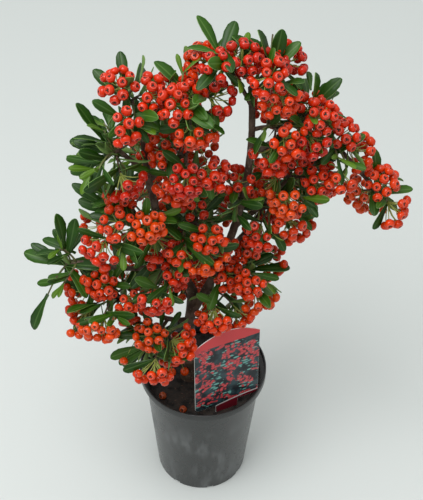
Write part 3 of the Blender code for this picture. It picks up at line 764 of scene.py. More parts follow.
limb_points = {}
wood = []
for name in LIMBS:
    points, radii = limb_line(name)
    points, radii = refine(points, radii, BARK_STEP)
    if LIMBS[name].parent:
        walked = 0.0
        for i in range(1, len(points)):
            walked += (points[i] - points[i - 1]).length
            radii[i] *= 1 + COLLAR * math.exp(-walked / COLLAR_LENGTH)
    limb_points[name] = list(zip(points, radii))
    bough = make_rod(name + "_bark", points, radii)
    roughen(bough, points, radii)
    bough.data.shade_smooth()
    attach(bough, "root")
    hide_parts(name)
    wood.append(bough)
print(len(wood), "limbs,", sum(len(b.data.polygons) for b in wood), "faces")

# %% [markdown]
# Young firethorn bark is brown with a grey bloom, and small paler dots are its raised pores. A soft
# noise mixes two browns, a stretched one gives fine cracks, and a Voronoi pattern the pores. The
# cracks and the pores also go into the bump, so that they catch the light.

# %% Bark finish
bark = Finish("firethorn_bark", colour=(0.09, 0.055, 0.035), roughness=0.8)
bloom = bark.between(bark.noise(90.0, detail=4.0), 0.4, 0.68)
upright = bark.node("ShaderNodeMapping", Vector=bark.place(), Scale=(1, 1, 0.2))
cracks = bark.noise(650.0, detail=3.0, where=upright)
pores = bark.node("ShaderNodeTexVoronoi", Vector=bark.place(), Scale=260.0)
pore_dots = 1 - bark.between(pores, 0.16, 0.24)
brown = bark.blend(bloom, (0.060, 0.034, 0.020), (0.135, 0.098, 0.070))
brown = bark.blend(bark.between(cracks, 0.56, 0.7) * 0.6, brown, (0.030, 0.019, 0.013))
bark.put("Base Color", bark.blend(pore_dots * 0.55, brown, (0.24, 0.18, 0.13)))
bark.put("Roughness", 0.86 - bloom * 0.14)
bark.bump(cracks + pore_dots * 0.5, 0.0005, 0.8)
for bough in wood:
    bough.data.materials.append(bark.material)
print("bark on", len(wood), "limbs")

# %% [markdown]
# ## How the crown grows
# Each mass of foliage fills an ellipsoid of its own and hangs on one stem from its limb. Shoots
# leave the stem in directions that are spread evenly over a sphere, tried in a scattered order.
# Some end in a cluster of berries, some in a rosette of leaves. The named tips are places where a
# leaf has to reach. This is the rule that the solids were grown by, carried to finer twigs.

# %% Spaces of the masses
Mass = namedtuple("Mass", "centre radii limb share clusters rosettes tips")
MASSES = {
    "top_left_mass": Mass(
        (-0.066, -0.014, 0.504), (0.041, 0.050, 0.034), "left_leader", 1.0, 4, 4,
        ((-0.091, 0.000, 0.521),)),
    "top_inner_mass": Mass(
        (-0.014, -0.008, 0.502), (0.039, 0.052, 0.036), "left_leader", 0.90, 7, 4,
        ((-0.039, 0.010, 0.527), (-0.012, 0.010, 0.534))),
    "left_shoulder_mass": Mass(
        (-0.078, -0.020, 0.452), (0.038, 0.050, 0.036), "left_shoulder_bough", 1.0, 2, 7,
        ((-0.113, -0.010, 0.460), (-0.114, -0.030, 0.436), (-0.104, -0.010, 0.495),
         (-0.107, -0.020, 0.467))),
    "inner_mass": Mass(
        (-0.016, -0.006, 0.441), (0.042, 0.052, 0.037), "left_leader", 0.66, 8, 4, ()),
    "left_flank_mass": Mass(
        (-0.066, -0.020, 0.378), (0.052, 0.052, 0.048), "left_leader", 0.46, 8, 6,
        ((-0.108, -0.016, 0.398), (-0.112, -0.020, 0.414), (-0.102, -0.020, 0.431))),
    "heart_mass": Mass(
        (-0.006, -0.004, 0.360), (0.040, 0.055, 0.040), "left_leader", 0.34, 7, 4, ()),
    "left_arm_mass": Mass(
        (-0.126, -0.022, 0.321), (0.038, 0.040, 0.042), "left_arm_bough", 1.0, 0, 2,
        ((-0.164, -0.020, 0.331), (-0.125, -0.020, 0.379), (-0.162, -0.050, 0.263),
         (-0.155, -0.020, 0.341), (-0.094, -0.030, 0.329), (-0.122, -0.030, 0.282),
         (-0.101, -0.040, 0.302), (-0.113, -0.020, 0.371))),
    "left_hip_mass": Mass(
        (-0.088, -0.028, 0.286), (0.042, 0.045, 0.040), "left_hip_bough", 1.0, 8, 5,
        ((-0.123, -0.040, 0.249),)),
    "left_belly_mass": Mass(
        (-0.040, -0.016, 0.318), (0.036, 0.055, 0.038), "left_leader", 0.10, 5, 4, ()),
    "left_skirt_mass": Mass(
        (-0.045, -0.046, 0.242), (0.040, 0.042, 0.036), "left_hip_bough", 0.42, 5, 4,
        ((-0.090, -0.050, 0.226), (-0.080, -0.050, 0.212), (-0.081, -0.050, 0.214))),
    "inner_foot_mass": Mass(
        (0.017, -0.004, 0.272), (0.036, 0.050, 0.043), "right_leader", 0.10, 6, 4,
        ((0.041, -0.002, 0.233),)),
    "crest_left_mass": Mass(
        (0.010, 0.004, 0.531), (0.036, 0.046, 0.032), "right_leader", 0.93, 7, 4,
        ((-0.005, 0.020, 0.562), (0.021, 0.026, 0.552))),
    "crest_right_mass": Mass(
        (0.052, 0.014, 0.515), (0.035, 0.048, 0.034), "right_leader", 1.0, 7, 4,
        ((0.040, 0.012, 0.553), (0.058, 0.020, 0.548), (0.072, 0.020, 0.537),
         (0.025, 0.012, 0.550), (0.037, 0.022, 0.540))),
    "right_shoulder_mass": Mass(
        (0.086, 0.018, 0.471), (0.034, 0.048, 0.036), "right_arm_bough", 0.40, 7, 4,
        ((0.102, 0.018, 0.505), (0.092, 0.012, 0.512))),
    "right_breast_mass": Mass(
        (0.060, 0.010, 0.460), (0.030, 0.050, 0.036), "right_leader", 0.84, 7, 4, ()),
    "right_waist_mass": Mass(
        (0.080, 0.018, 0.403), (0.042, 0.050, 0.034), "right_waist_bough", 1.0, 7, 4,
        ((0.111, 0.020, 0.374), (0.102, 0.012, 0.350))),
    "right_low_mass": Mass(
        (0.063, 0.014, 0.361), (0.040, 0.048, 0.034), "right_waist_bough", 0.55, 6, 4, ()),
    "right_foot_mass": Mass(
        (0.044, 0.006, 0.291), (0.033, 0.048, 0.038), "right_leader", 0.16, 5, 4,
        ((0.080, 0.006, 0.296), (0.070, 0.004, 0.249))),
    "right_elbow_mass": Mass(
        (0.114, 0.014, 0.433), (0.032, 0.042, 0.032), "right_arm_bough", 0.60, 6, 4,
        ((0.134, 0.020, 0.446),)),
    "right_tip_mass": Mass(
        (0.152, 0.018, 0.380), (0.032, 0.040, 0.035), "right_arm_bough", 1.0, 9, 2,
        ((0.184, 0.020, 0.386), (0.150, 0.026, 0.424))),
    "back_left_mass": Mass(
        (-0.058, 0.058, 0.384), (0.044, 0.038, 0.042), "back_left_bough", 1.0, 5, 5,
        ((-0.066, 0.094, 0.402),)),
    "back_right_mass": Mass(
        (0.066, 0.060, 0.352), (0.040, 0.038, 0.040), "back_right_bough", 1.0, 5, 5,
        ((0.074, 0.096, 0.362),)),
    "back_middle_mass": Mass(
        (-0.008, 0.060, 0.312), (0.040, 0.036, 0.040), "back_low_bough", 1.0, 5, 5,
        ((-0.004, 0.094, 0.322),)),
    "back_low_mass": Mass(
        (-0.030, 0.046, 0.246), (0.038, 0.036, 0.034), "back_low_bough", 0.5, 5, 5,
        ((-0.052, 0.066, 0.224),)),
    "middle_mass": Mass(
        (0.028, -0.002, 0.396), (0.024, 0.044, 0.027), "right_leader", 0.50, 1, 5, ()),
}
print(len(MASSES), "masses,", sum(mass.clusters for mass in MASSES.values()), "clusters wanted")

# %% [markdown]
# Light shows through the crown in a few places. Leaving that to chance would close some of them,
# so each is a box that nothing may grow in. Seen at 45 degrees from above, such a box has to slope
# down to the back at the same angle, or the foliage behind it would fill it.

# %% Openings in the crown
Opening = namedtuple("Opening", "x z half_x half_z")
OPENINGS = (
    Opening(0.0265, 0.459, 0.0080, 0.021),
    Opening(0.0185, 0.436, 0.0130, 0.007),
    Opening(0.0085, 0.492, 0.0080, 0.006),
    Opening(0.0245, 0.344, 0.0080, 0.009),
    Opening(0.1240, 0.362, 0.0150, 0.018),
)

# A leafy part, high on the left, where no fruit shows.
LEAFY = Opening(-0.100, 0.434, 0.030, 0.044)


def in_gap(point, gap, margin=0.0):
    """Whether a point lies in an opening, which slopes down to the back at 45 degrees."""
    wide = abs(point.x - gap.x) < gap.half_x + margin
    return wide and abs(point.z + point.y - gap.z) < gap.half_z + margin


print(len(OPENINGS), "openings and one leafy part")

# %% [markdown]
# Berries that pass through each other look wrong from close by, and leaves that do look messy.
# Testing every pair of meshes would take minutes. Balls are quick to test, so each berry is one
# ball, and a leaf is a few small balls along its blade. They are kept in cubes of space, so a
# new one is only tested against those in the cubes next to it.

# %% What is already taken
WOOD_CUBE = 0.012


class Taken:
    """Balls of taken space, sorted into cubes so that neighbours are found fast."""

    def __init__(self, cube):
        self.cube = cube
        self.balls = {}

    def key(self, point):
        """The cube that a point is in."""
        return tuple(math.floor(c / self.cube) for c in point)

    def add(self, point, radius):
        """Take the space of a ball."""
        self.balls.setdefault(self.key(point), []).append((point.copy(), radius))

    def free(self, point, radius):
        """Whether a ball touches none of those that are there."""
        x, y, z = self.key(point)
        for i in (-1, 0, 1):
            for j in (-1, 0, 1):
                for k in (-1, 0, 1):
                    for other, other_radius in self.balls.get((x + i, y + j, z + k), ()):
                        if (point - other).length < radius + other_radius:
                            return False
        return True


taken_wood = Taken(WOOD_CUBE)
for line in limb_points.values():
    for point, radius in line:
        taken_wood.add(point, radius)
print("wood takes", sum(len(b) for b in taken_wood.balls.values()), "balls")

# %% [markdown]
# A mass starts with its stem, from the limb to the middle of the mass. Shoots leave the outer part
# of the stem, and each starts a golden share further along than the one before, so that they
# don't crowd. A mass draws its chances from a seed of its own, so the plant grows the same every
# time, and a change in one mass leaves the others nearly as they were.

# %% Stems and shoots
HUB_CUBE = 0.030
FRUIT_CUBE = 0.012
BLADE_CUBE = 0.008
SPACE = 1.05
STEM_BOW = 0.06
STEM_STEPS = 6
SHOOT_R = 0.0011
SHOOT_TIP_R = 0.0007
SHOOT_BOW = 0.10
SHOOT_STRAY = 0.0015
SHOOT_STEPS = 4
FIRST_SHOOT = 0.45
GOLDEN_SHARE = 0.618


def times_each(direction, factors):
    """A direction with each of its numbers multiplied by a factor of its own."""
    return Vector([c * factor for c, factor in zip(direction, factors)])


class Growth:
    """The stem and the shoots of a mass, and plain lists of all that has grown."""

    def __init__(self):
        self.twigs = []
        self.shoots = []
        self.young = []
        self.stalks = []
        self.berries = []
        self.leaves = []
        self.thorns = []
        self.waiting = []
        self.turns = {}
        self.hubs = Taken(HUB_CUBE)
        self.fruit = Taken(FRUIT_CUBE)
        self.blades = Taken(BLADE_CUBE)

    def start(self, name, seed):
        """Begin or go on with a mass: its stem, and its own seeded chance."""
        self.name = name
        self.mass = MASSES[name]
        self.rng = random.Random(seed)
        self.centre = Vector(self.mass.centre)
        limb, _ = limb_line(self.mass.limb)
        foot, _ = at_share(limb, self.mass.share)
        bow = Vector((0, 0, STEM_BOW * (self.centre - foot).length))
        self.stem = bowed(foot, self.centre, bow, STEM_STEPS)
        self.tries = 0

    def chance_vector(self, size):
        """A small random vector."""
        return Vector([self.rng.uniform(-size, size) for _ in range(3)])

    def inside(self, point, margin=0.0, space=SPACE):
        """Whether a point is in the mass's space and in no opening."""
        offset = point - self.centre
        scaled = Vector([offset[i] / self.mass.radii[i] for i in range(3)])
        if any(in_gap(point, gap, margin) for gap in OPENINGS):
            return False
        return scaled.length < space

    def shoot(self, end):
        """A curved shoot from the stem to its end."""
        self.tries += 1
        share = FIRST_SHOOT + (1 - FIRST_SHOOT) * (self.tries * GOLDEN_SHARE % 1)
        start, _ = at_share(self.stem, share)
        bow = Vector((0, 0, SHOOT_BOW * (end - start).length)) + self.chance_vector(SHOOT_STRAY)
        return bowed(start, end, bow, SHOOT_STEPS)


print("stems and shoots ready")

# %% [markdown]
# Leaves stand round a shoot near its end, each turned from the one before by the golden angle. On
# a leafy shoot the leaves nearest the tip are shorter, younger and stand up more. A leaf that
# would cross fruit, wood or another leaf is tried again shorter, and is left out if it still does.

# %% Leaves round a shoot
GOLDEN_ANGLE = math.radians(137.508)
LEAF_LENGTH = (0.026, 0.042)
LEAF_SHORTER = (1.0, 0.84, 0.70)
LEAF_BALLS = (0.35, 0.6, 0.82, 1.0)
LEAF_BALL_R = 0.0011
LEAF_APART = 0.0016
LEAF_CLEAR = 0.001
LEAF_SPACE = 1.02
LEAF_STEP = 0.0026
LEAF_STRAY = 0.12
LEAN_LESS = 0.55
FACING_AXIS = 0.8
FACING_UP = Vector((0, 0, 0.7))
FACING_STRAY = 0.55
YOUNG_LEAVES = 2
YOUNG_SHORTER = 0.72
OLD_AGES = ("deep", "mid")
OLD_SHARES = (0.68, 0.32)

# Masses with thin foliage, whose leaves keep well inside their space.
SPARSE_SPACE = 0.92
SPARSE = ("crest_left_mass", "crest_right_mass", "left_arm_mass", "right_shoulder_mass",
          "right_elbow_mass", "right_tip_mass")


class LeafyGrowth(Growth):
    """Growth that also has leaves."""

    def leaf_fits(self, balls):
        """Whether a leaf's balls are in the mass's space and touch nothing."""
        space = SPARSE_SPACE if self.name in SPARSE else LEAF_SPACE
        return (all(self.inside(ball, LEAF_CLEAR, space) for ball in balls[2:])
                and all(self.fruit.free(ball, LEAF_BALL_R) for ball in balls)
                and all(taken_wood.free(ball, LEAF_BALL_R) for ball in balls[1:])
                and all(self.blades.free(ball, LEAF_APART) for ball in balls[1:]))

    def leaf(self, root, direction, facing, length, age):
        """Grow one leaf, shortened if it has to be. It gives 1, or 0 if there is no room."""
        direction = direction.normalized()
        for share in LEAF_SHORTER:
            size = length * share
            balls = [root + direction * size * t for t in LEAF_BALLS]
            if self.leaf_fits(balls):
                for ball in balls[1:]:
                    self.blades.add(ball, LEAF_APART)
                self.leaves.append((root, direction, facing, size, age))
                return 1
        return 0

    def whorl(self, line, axis, count, back, lean, young=False, scale=1.0):
        """Leaves round a shoot, from its tip back, turning by the golden angle."""
        tip_direction = (line[-1] - line[-2]).normalized()
        across = axis.orthogonal().normalized()
        first = self.rng.uniform(0, 2 * math.pi)
        grown = 0
        for i in range(count):
            side = Quaternion(axis, first + i * GOLDEN_ANGLE) @ across
            root = line[-1] - tip_direction * (back + LEAF_STEP * i)
            rise = lean * (1 - LEAN_LESS * i / count)
            direction = axis * rise + side + self.chance_vector(LEAF_STRAY)
            facing = axis * FACING_AXIS + FACING_UP + self.chance_vector(FACING_STRAY)
            length = self.rng.uniform(*LEAF_LENGTH) * scale
            inner = young and i < YOUNG_LEAVES
            if inner:
                length *= YOUNG_SHORTER
            age = "young" if inner else self.rng.choices(OLD_AGES, OLD_SHARES)[0]
            grown += self.leaf(root, direction, facing, length, age)
        return grown


print("leaves ready")

# %% [markdown]
# Two kinds of shoot bear only leaves. A rosette ends well inside the mass, and its leaves fill the
# room between the clusters. The other kind ends at a named tip, with one leaf that points right
# out, because single leaves that stand out give the crown its ragged outline.

# %% Leafy shoots
ROSETTE_REACH = 0.60
ROSETTE_STRAY = 0.004
ROSETTE_CLEAR = 0.004
ROSETTE_FRUIT_GAP = 0.001
ROSETTE_LEAVES = (5, 8)
ROSETTE_FEWEST = 2
ROSETTE_LEAN = 1.5
ROSETTE_LIFT = Vector((0, 0, 0.25))
LEAF_BACK = 0.0008
TIP_LEAF = 0.040
TIP_FACING = Vector((0, -0.4, 1))
TIP_FACING_SIDE = 0.3
TIP_LEAVES = 3
TIP_LEAVES_SPARSE = 1
TIP_BACK = 0.002
TIP_LEAN = 0.9
TIP_SHORTER = 0.72


class ShootingGrowth(LeafyGrowth):
    """Growth that also has shoots with only leaves."""

    def rosette(self, direction):
        """Grow a leafy shoot. It gives 1, or 0 if there is no room for two leaves."""
        reach = [r * ROSETTE_REACH for r in self.mass.radii]
        end = self.centre + times_each(direction, reach)
        end += self.chance_vector(ROSETTE_STRAY)
        if not self.inside(end, ROSETTE_CLEAR) or not self.fruit.free(end, ROSETTE_FRUIT_GAP):
            return 0
        line = self.shoot(end)
        axis = (line[-1] - line[-2]).normalized()
        axis = (axis + ROSETTE_LIFT).normalized()
        count = self.rng.randint(*ROSETTE_LEAVES)
        grown = self.whorl(line, axis, count, LEAF_BACK, ROSETTE_LEAN, young=True)
        if grown < ROSETTE_FEWEST:
            return 0
        self.young.append((line, SHOOT_R, SHOOT_TIP_R))
        return 1

    def reach_tip(self, tip):
        """A shoot whose last leaf ends at the given tip, with leaves beside it."""
        tip = Vector(tip)
        out = (tip - self.centre).normalized()
        root = tip - out * TIP_LEAF
        line = self.shoot(root + out * LEAF_BACK)
        side = out.orthogonal().normalized()
        facing = TIP_FACING + side * TIP_FACING_SIDE
        self.leaves.append((root, out, facing, TIP_LEAF, self.rng.choice(OLD_AGES)))
        for t in LEAF_BALLS:
            self.blades.add(root + out * TIP_LEAF * t, LEAF_APART)
        self.young.append((line, SHOOT_R, SHOOT_TIP_R))
        count = TIP_LEAVES_SPARSE if self.name in SPARSE else TIP_LEAVES
        self.whorl(line, out, count, TIP_BACK, TIP_LEAN, scale=TIP_SHORTER)


print("leafy shoots ready")

# %% [markdown]
# A cluster sits near the outside of its mass and looks outwards, a little towards the light: up in
# the upper half of the crown, down in the lower half, where the fruit's weight bends the shoots.
# The tone is drawn once for a whole cluster. Clusters are reddest high up and on the left, and
# more orange low down and on the right.

# %% Places and tones of the clusters
CLUSTER_INSET = 0.0190
CLUSTER_LEAST = 0.25
CLUSTER_TOWARDS = 0.30
CLUSTER_LEVEL = 0.41
CLUSTER_LIFT = 5.0
CLUSTER_LIFT_MOST = 0.55
CLUSTER_STRAY = 0.25
BACK = 0.04

# Masses at the crest, whose clusters are set lower so that leaves make the skyline.
CREST = ("crest_left_mass", "crest_right_mass", "right_shoulder_mass", "top_inner_mass")
CREST_FACING = 0.6
CREST_DOWN = Vector((0, 0.5, 1.0))
CREST_LOWER = 0.40

# How red a cluster is, and the least redness of each tone.
RED_HEIGHT = 0.9
RED_FOOT = 0.30
RED_RISE = 0.26
RED_LEFT = 1.6
RED_STRAY = 0.35
RED_TONES = (("crimson", 0.95), ("scarlet", 0.35), ("vermilion", -0.25))


class ClusterPlaces(ShootingGrowth):
    """Growth that knows where a cluster sits, and in which tone."""

    def hub_and_axis(self, direction):
        """Where a cluster's stalks meet, and which way the cluster looks."""
        inset = [max(r - CLUSTER_INSET, CLUSTER_LEAST * r) for r in self.mass.radii]
        hub = self.centre + times_each(direction, inset)
        if self.name in CREST and direction.y + direction.z > CREST_FACING:
            hub -= CREST_DOWN * CREST_LOWER * self.mass.radii[2]
        lift = (self.centre.z - CLUSTER_LEVEL) * CLUSTER_LIFT
        lift = max(-CLUSTER_LIFT_MOST, min(CLUSTER_LIFT_MOST, lift))
        towards = CLUSTER_TOWARDS if self.centre.y > BACK else -CLUSTER_TOWARDS
        axis = direction + Vector((0, towards, lift)) + self.chance_vector(CLUSTER_STRAY)
        return hub, axis.normalized()

    def berry_tone(self, hub):
        """Which of the fruit colours a cluster has."""
        redness = RED_HEIGHT * (hub.z - RED_FOOT) / RED_RISE - RED_LEFT * hub.x
        redness += self.rng.gauss(0, RED_STRAY)
        for tone, least in RED_TONES:
            if redness > least:
                return tone
        return "orange"


print("places and tones ready")

# %% [markdown]
# A cluster is a dome of about a dozen berries on thin stalks that meet near the shoot's end. They
# are laid out like the seeds of a sunflower, so that they sit evenly, then each is shifted a
# little. A berry with no room is tried again on a longer and on a shorter stalk. A cluster that
# faces down hangs: it is narrower and its stalks are longer.

# %% Clusters of berries
BERRY_R = 0.0047
BERRY_SPREAD = (0.84, 1.04)
BERRY_TOUCH = 0.90
BERRY_CLEAR = 0.002
BERRY_SINK = Vector((0, 0, -0.0012))
BERRY_SHARES = (1.0, 1.2, 0.82)
BERRY_SHARE_SPREAD = (0.94, 1.08)
FIRST_BERRY = 0.3
FRUIT_SPACE = 0.97
CLUSTER_REACH = 0.0140
CLUSTER_SPREAD = math.radians(82)
CLUSTER_SPACE = 0.0102
CLUSTER_FEWEST = 4
HANGING = -0.02
HANGING_SPREAD = math.radians(66)
HANGING_LONGER = 1.35
STALK_R = 0.00050
STALK_NARROWS = 0.85
STALK_START = (0.0, 0.7)
STALK_SAG = -0.08
STALK_STRAY = 0.0008
STALK_STEPS = 3
STALK_DEPTH = 0.8
EYE_STRAY = 0.25


class FruitingGrowth(ClusterPlaces):
    """Growth that also has clusters of berries."""

    def berry_fits(self, middle, radius):
        """Whether there is room for a berry. Neighbours may just touch."""
        if in_gap(middle, LEAFY) or not self.inside(middle, BERRY_CLEAR, FRUIT_SPACE):
            return False
        return self.fruit.free(middle, radius * BERRY_TOUCH) and taken_wood.free(middle, radius)

    def dome(self, hub, axis, count):
        """The middles and radii of a cluster's berries, as many as there is room for."""
        across = axis.orthogonal().normalized()
        first = self.rng.uniform(0, 2 * math.pi)
        tone = self.berry_tone(hub)
        hangs = axis.z < HANGING
        widest = HANGING_SPREAD if hangs else CLUSTER_SPREAD
        longer = HANGING_LONGER if hangs else 1.0
        found = []
        for k in range(count):
            spread = widest * math.sqrt((k + FIRST_BERRY) / count)
            side = Quaternion(axis, first + k * GOLDEN_ANGLE) @ across
            out = (axis * math.cos(spread) + side * math.sin(spread)).normalized()
            radius = BERRY_R * self.rng.uniform(*BERRY_SPREAD)
            for share in BERRY_SHARES:
                reach = CLUSTER_REACH * (longer * share)
                middle = hub + out * (reach * self.rng.uniform(*BERRY_SHARE_SPREAD)) + BERRY_SINK
                if self.berry_fits(middle, radius):
                    found.append((middle, radius))
                    self.fruit.add(middle, radius * BERRY_TOUCH)
                    break
        return found, tone

    def cluster(self, direction, count):
        """Grow a cluster that faces in a direction. It gives 1, or 0 if there is no room."""
        hub, axis = self.hub_and_axis(direction)
        if not self.hubs.free(hub, CLUSTER_SPACE):
            return 0
        found, tone = self.dome(hub, axis, count)
        if len(found) < CLUSTER_FEWEST:
            return 0
        self.hubs.add(hub, CLUSTER_SPACE)
        line = self.shoot(hub)
        self.shoots.append((line, SHOOT_R, SHOOT_TIP_R))
        back = line[-1] - line[-2]
        for middle, radius in found:
            root = hub - back * self.rng.uniform(*STALK_START)
            eye = (middle - root).normalized() + self.chance_vector(EYE_STRAY)
            eye.normalize()
            end = middle - eye * radius * STALK_DEPTH
            sag = Vector((0, 0, STALK_SAG * (end - root).length)) + self.chance_vector(STALK_STRAY)
            stalk = bowed(root, end, sag, STALK_STEPS)
            self.stalks.append((stalk, STALK_R, STALK_R * STALK_NARROWS))
            self.berries.append((middle, eye, radius, tone))
        self.waiting.append((self.name, line, axis))
        return 1


print("clusters ready")

# %% [markdown]
# A few details are listed one by one or come last. Single orange berries hang on long stalks at the
# foot of the crown, and every third fruiting shoot has a straight thorn, which gives the firethorn
# its name. They could be part of the rule, but a thorn needs to know what is already there.

# %% Thorns and hanging berries
DANGLING = (
    (-0.1236, -0.046, 0.2535), (-0.1165, -0.044, 0.2485), (-0.0744, -0.055, 0.2252),
    (-0.0316, -0.012, 0.1560), (-0.0185, -0.010, 0.1550), (-0.0395, -0.014, 0.1590))
DANGLE_LEAST = 0.016
DANGLE_SAG = 0.12
DANGLE_STRAY = 0.001
DANGLE_STEPS = 6
DANGLE_EYE_STRAY = 0.4
DANGLE_SPREAD = (0.9, 1.0)
THORN_EVERY = 3
THORN_PLACE = (0.35, 0.65)
THORN_FORWARD = 0.5
THORN_LENGTH = (0.007, 0.013)
THORN_R = 0.0008
THORN_TIP_R = 0.00012
THORN_STEPS = 2


class Details(FruitingGrowth):
    """Growth that also has thorns and single hanging berries."""

    def dangle(self, place):
        """One berry on a long stalk, from the nearest shoot that ends above it."""
        place = Vector(place)
        ends = [line[-1] for line, _, _ in self.shoots if line[-1].z > place.z + DANGLE_LEAST]
        root = min(ends, key=lambda end: (end - place).length)
        down = (place - root).normalized()
        sag = Vector((0, 0, DANGLE_SAG * (place - root).length)) + self.chance_vector(DANGLE_STRAY)
        end = place - down * BERRY_R * STALK_DEPTH
        stalk = bowed(root, end, sag, DANGLE_STEPS)
        self.stalks.append((stalk, STALK_R, STALK_R * STALK_NARROWS))
        eye = (down + self.chance_vector(DANGLE_EYE_STRAY)).normalized()
        self.berries.append((place, eye, BERRY_R * self.rng.uniform(*DANGLE_SPREAD), "orange"))

    def thorn(self, line):
        """A straight thorn that leaves a shoot near its middle."""
        root, along = at_share(line, self.rng.uniform(*THORN_PLACE))
        side = Quaternion(along, self.rng.uniform(0, 2 * math.pi)) @ along.orthogonal().normalized()
        out = (side + along * THORN_FORWARD).normalized()
        tip = root + out * self.rng.uniform(*THORN_LENGTH)
        if self.fruit.free(tip, 0.0) and taken_wood.free(tip, 0.0):
            straight = bowed(root, tip, Vector((0, 0, 0)), THORN_STEPS)
            self.thorns.append((straight, THORN_R, THORN_TIP_R))


print(len(DANGLING), "hanging berries, a thorn on one shoot in", THORN_EVERY)

# %% [markdown]
# Now the whole crown grows. Tips and fruit come first for every mass, because the fruit is what
# the eye goes to. The leaves then take the room that is left, first those just below each cluster
# and then the rosettes. Last, a few berries that have dropped are laid on the compost.

# %% Grow the crown
CROWN_SEED = " in leafb"
TRIES = 60
SKIP = 37
CLUSTER_BERRIES = (10, 16)
CLUSTER_LEAVES = 3
CLUSTER_LEAF_BACK = 0.003
CLUSTER_LEAF_LEAN = 0.35
ROSETTE_TURN = 0.5
STEM_R = 0.0021
STEM_TIP_R = 0.0013
FALLEN = ((-0.040, -0.031), (-0.019, -0.046), (0.020, 0.034))
FALLEN_SIZE = 0.9
FALLEN_HEIGHT = 0.8


def sphere_direction(index, count, turn):
    """One of a number of directions spread evenly all round."""
    height = 1 - 2 * (index + 0.5) / count
    ring = math.sqrt(1 - height * height)
    angle = index * GOLDEN_ANGLE + turn
    return Vector((ring * math.cos(angle), ring * math.sin(angle), height))


def tried_directions(turn):
    """All the directions that a mass tries, in a scattered order."""
    return [sphere_direction(k * SKIP % TRIES, TRIES, turn) for k in range(TRIES)]


class Crown(Details):
    """The whole crown."""

    def fill_with_fruit(self, name):
        """A mass's stem, the leaves at its tips and its clusters."""
        self.start(name, name + CROWN_SEED)
        self.twigs.append((self.stem, STEM_R, STEM_TIP_R))
        for tip in self.mass.tips:
            self.reach_tip(tip)
        self.turns[name] = self.rng.uniform(0, 2 * math.pi)
        wanted = self.mass.clusters
        for direction in tried_directions(self.turns[name]):
            if wanted > 0:
                wanted -= self.cluster(direction, self.rng.randint(*CLUSTER_BERRIES))

    def fill_with_leaves(self, name):
        """A mass's rosettes."""
        self.start(name, name + " rosettes")
        wanted = self.mass.rosettes
        for direction in tried_directions(self.turns[name] + ROSETTE_TURN):
            if wanted > 0:
                wanted -= self.rosette(direction)

    def grow(self):
        """Fruit for every mass first, then leaves in the room that is left."""
        for name in MASSES:
            self.fill_with_fruit(name)
        for name, line, axis in self.waiting:
            self.start(name, f"{name} {line[-1].x:.4f}")
            self.whorl(line, axis, CLUSTER_LEAVES, CLUSTER_LEAF_BACK, CLUSTER_LEAF_LEAN)
        for name in MASSES:
            self.fill_with_leaves(name)
        for line, _, _ in self.shoots[::THORN_EVERY]:
            self.thorn(line)
        for place in DANGLING:
            self.dangle(place)


crown = Crown()
crown.grow()
for x, y in FALLEN:
    ground = Vector((x, y, COMPOST_TOP + lumpy(x, y) + BERRY_R * FALLEN_HEIGHT))
    eye = Vector((x, -0.04, 0.02)).normalized()
    crown.berries.append((ground, eye, BERRY_R * FALLEN_SIZE, "fallen"))
print(len(crown.berries), "berries,", len(crown.leaves), "leaves,", len(crown.shoots), "shoots")

# %% [markdown]
# ## One berry
# A firethorn berry is a slightly flattened ball. At the far end from its stalk it has a small
# dark star, the dried rest of the flower, in a shallow dent with a paler ring round it. The ball
# is an extruded ring of ten sides. Its end face is poked into ten dark triangles, and every
# second face of the ring round them is dark too, which gives the star its points.

# %% Berry shape
BERRY_SIDES = 10
berry_profile = [
    (0.54, -0.80), (0.98, -0.20), (0.96, 0.32), (0.64, 0.73), (0.54, 0.78), (0.38, 0.72),
    (0.20, 0.66)]
EYE_DEPTH = 0.58
RING_REACH = 0.495
RING_HEIGHT = 0.75
STAR_REACH = 0.34
STAR_MIDDLE = 0.6


def make_berry(name, finishes):
    """One berry of radius 1 whose eye looks along +Z."""
    piece = extrude_ring(berry_profile, BERRY_SIDES, name)
    bpy.ops.mesh.select_all(action="DESELECT")
    bpy.ops.object.mode_set(mode="OBJECT")
    for face in piece.data.polygons:
        face.select = face.normal.z > FACES_UP and len(face.vertices) == BERRY_SIDES
    bpy.ops.object.mode_set(mode="EDIT")
    bpy.ops.mesh.poke(offset=EYE_DEPTH - berry_profile[-1][1])
    close_piece(piece, *finishes)
    piece.data.shade_smooth()
    for face in piece.data.polygons:
        centre = face.center
        around = math.atan2(centre.y, centre.x) % (2 * math.pi)
        ring = math.hypot(centre.x, centre.y)
        if centre.z > 0 and ring < STAR_REACH:
            side = int(around / (2 * math.pi / BERRY_SIDES))
            pointed = ring < STAR_MIDDLE * STAR_REACH or side % 2
            face.material_index = 2 if pointed else 0
        elif centre.z > RING_HEIGHT and ring > RING_REACH:
            face.material_index = 1
    return piece


print("berry shape,", len(berry_profile), "rings of", BERRY_SIDES)

# %% [markdown]
# The skin is glossy and slightly mottled, and the ring round the star is paler and duller. There
# is one model for each tone, from dark red to orange, because whole clusters ripen together.

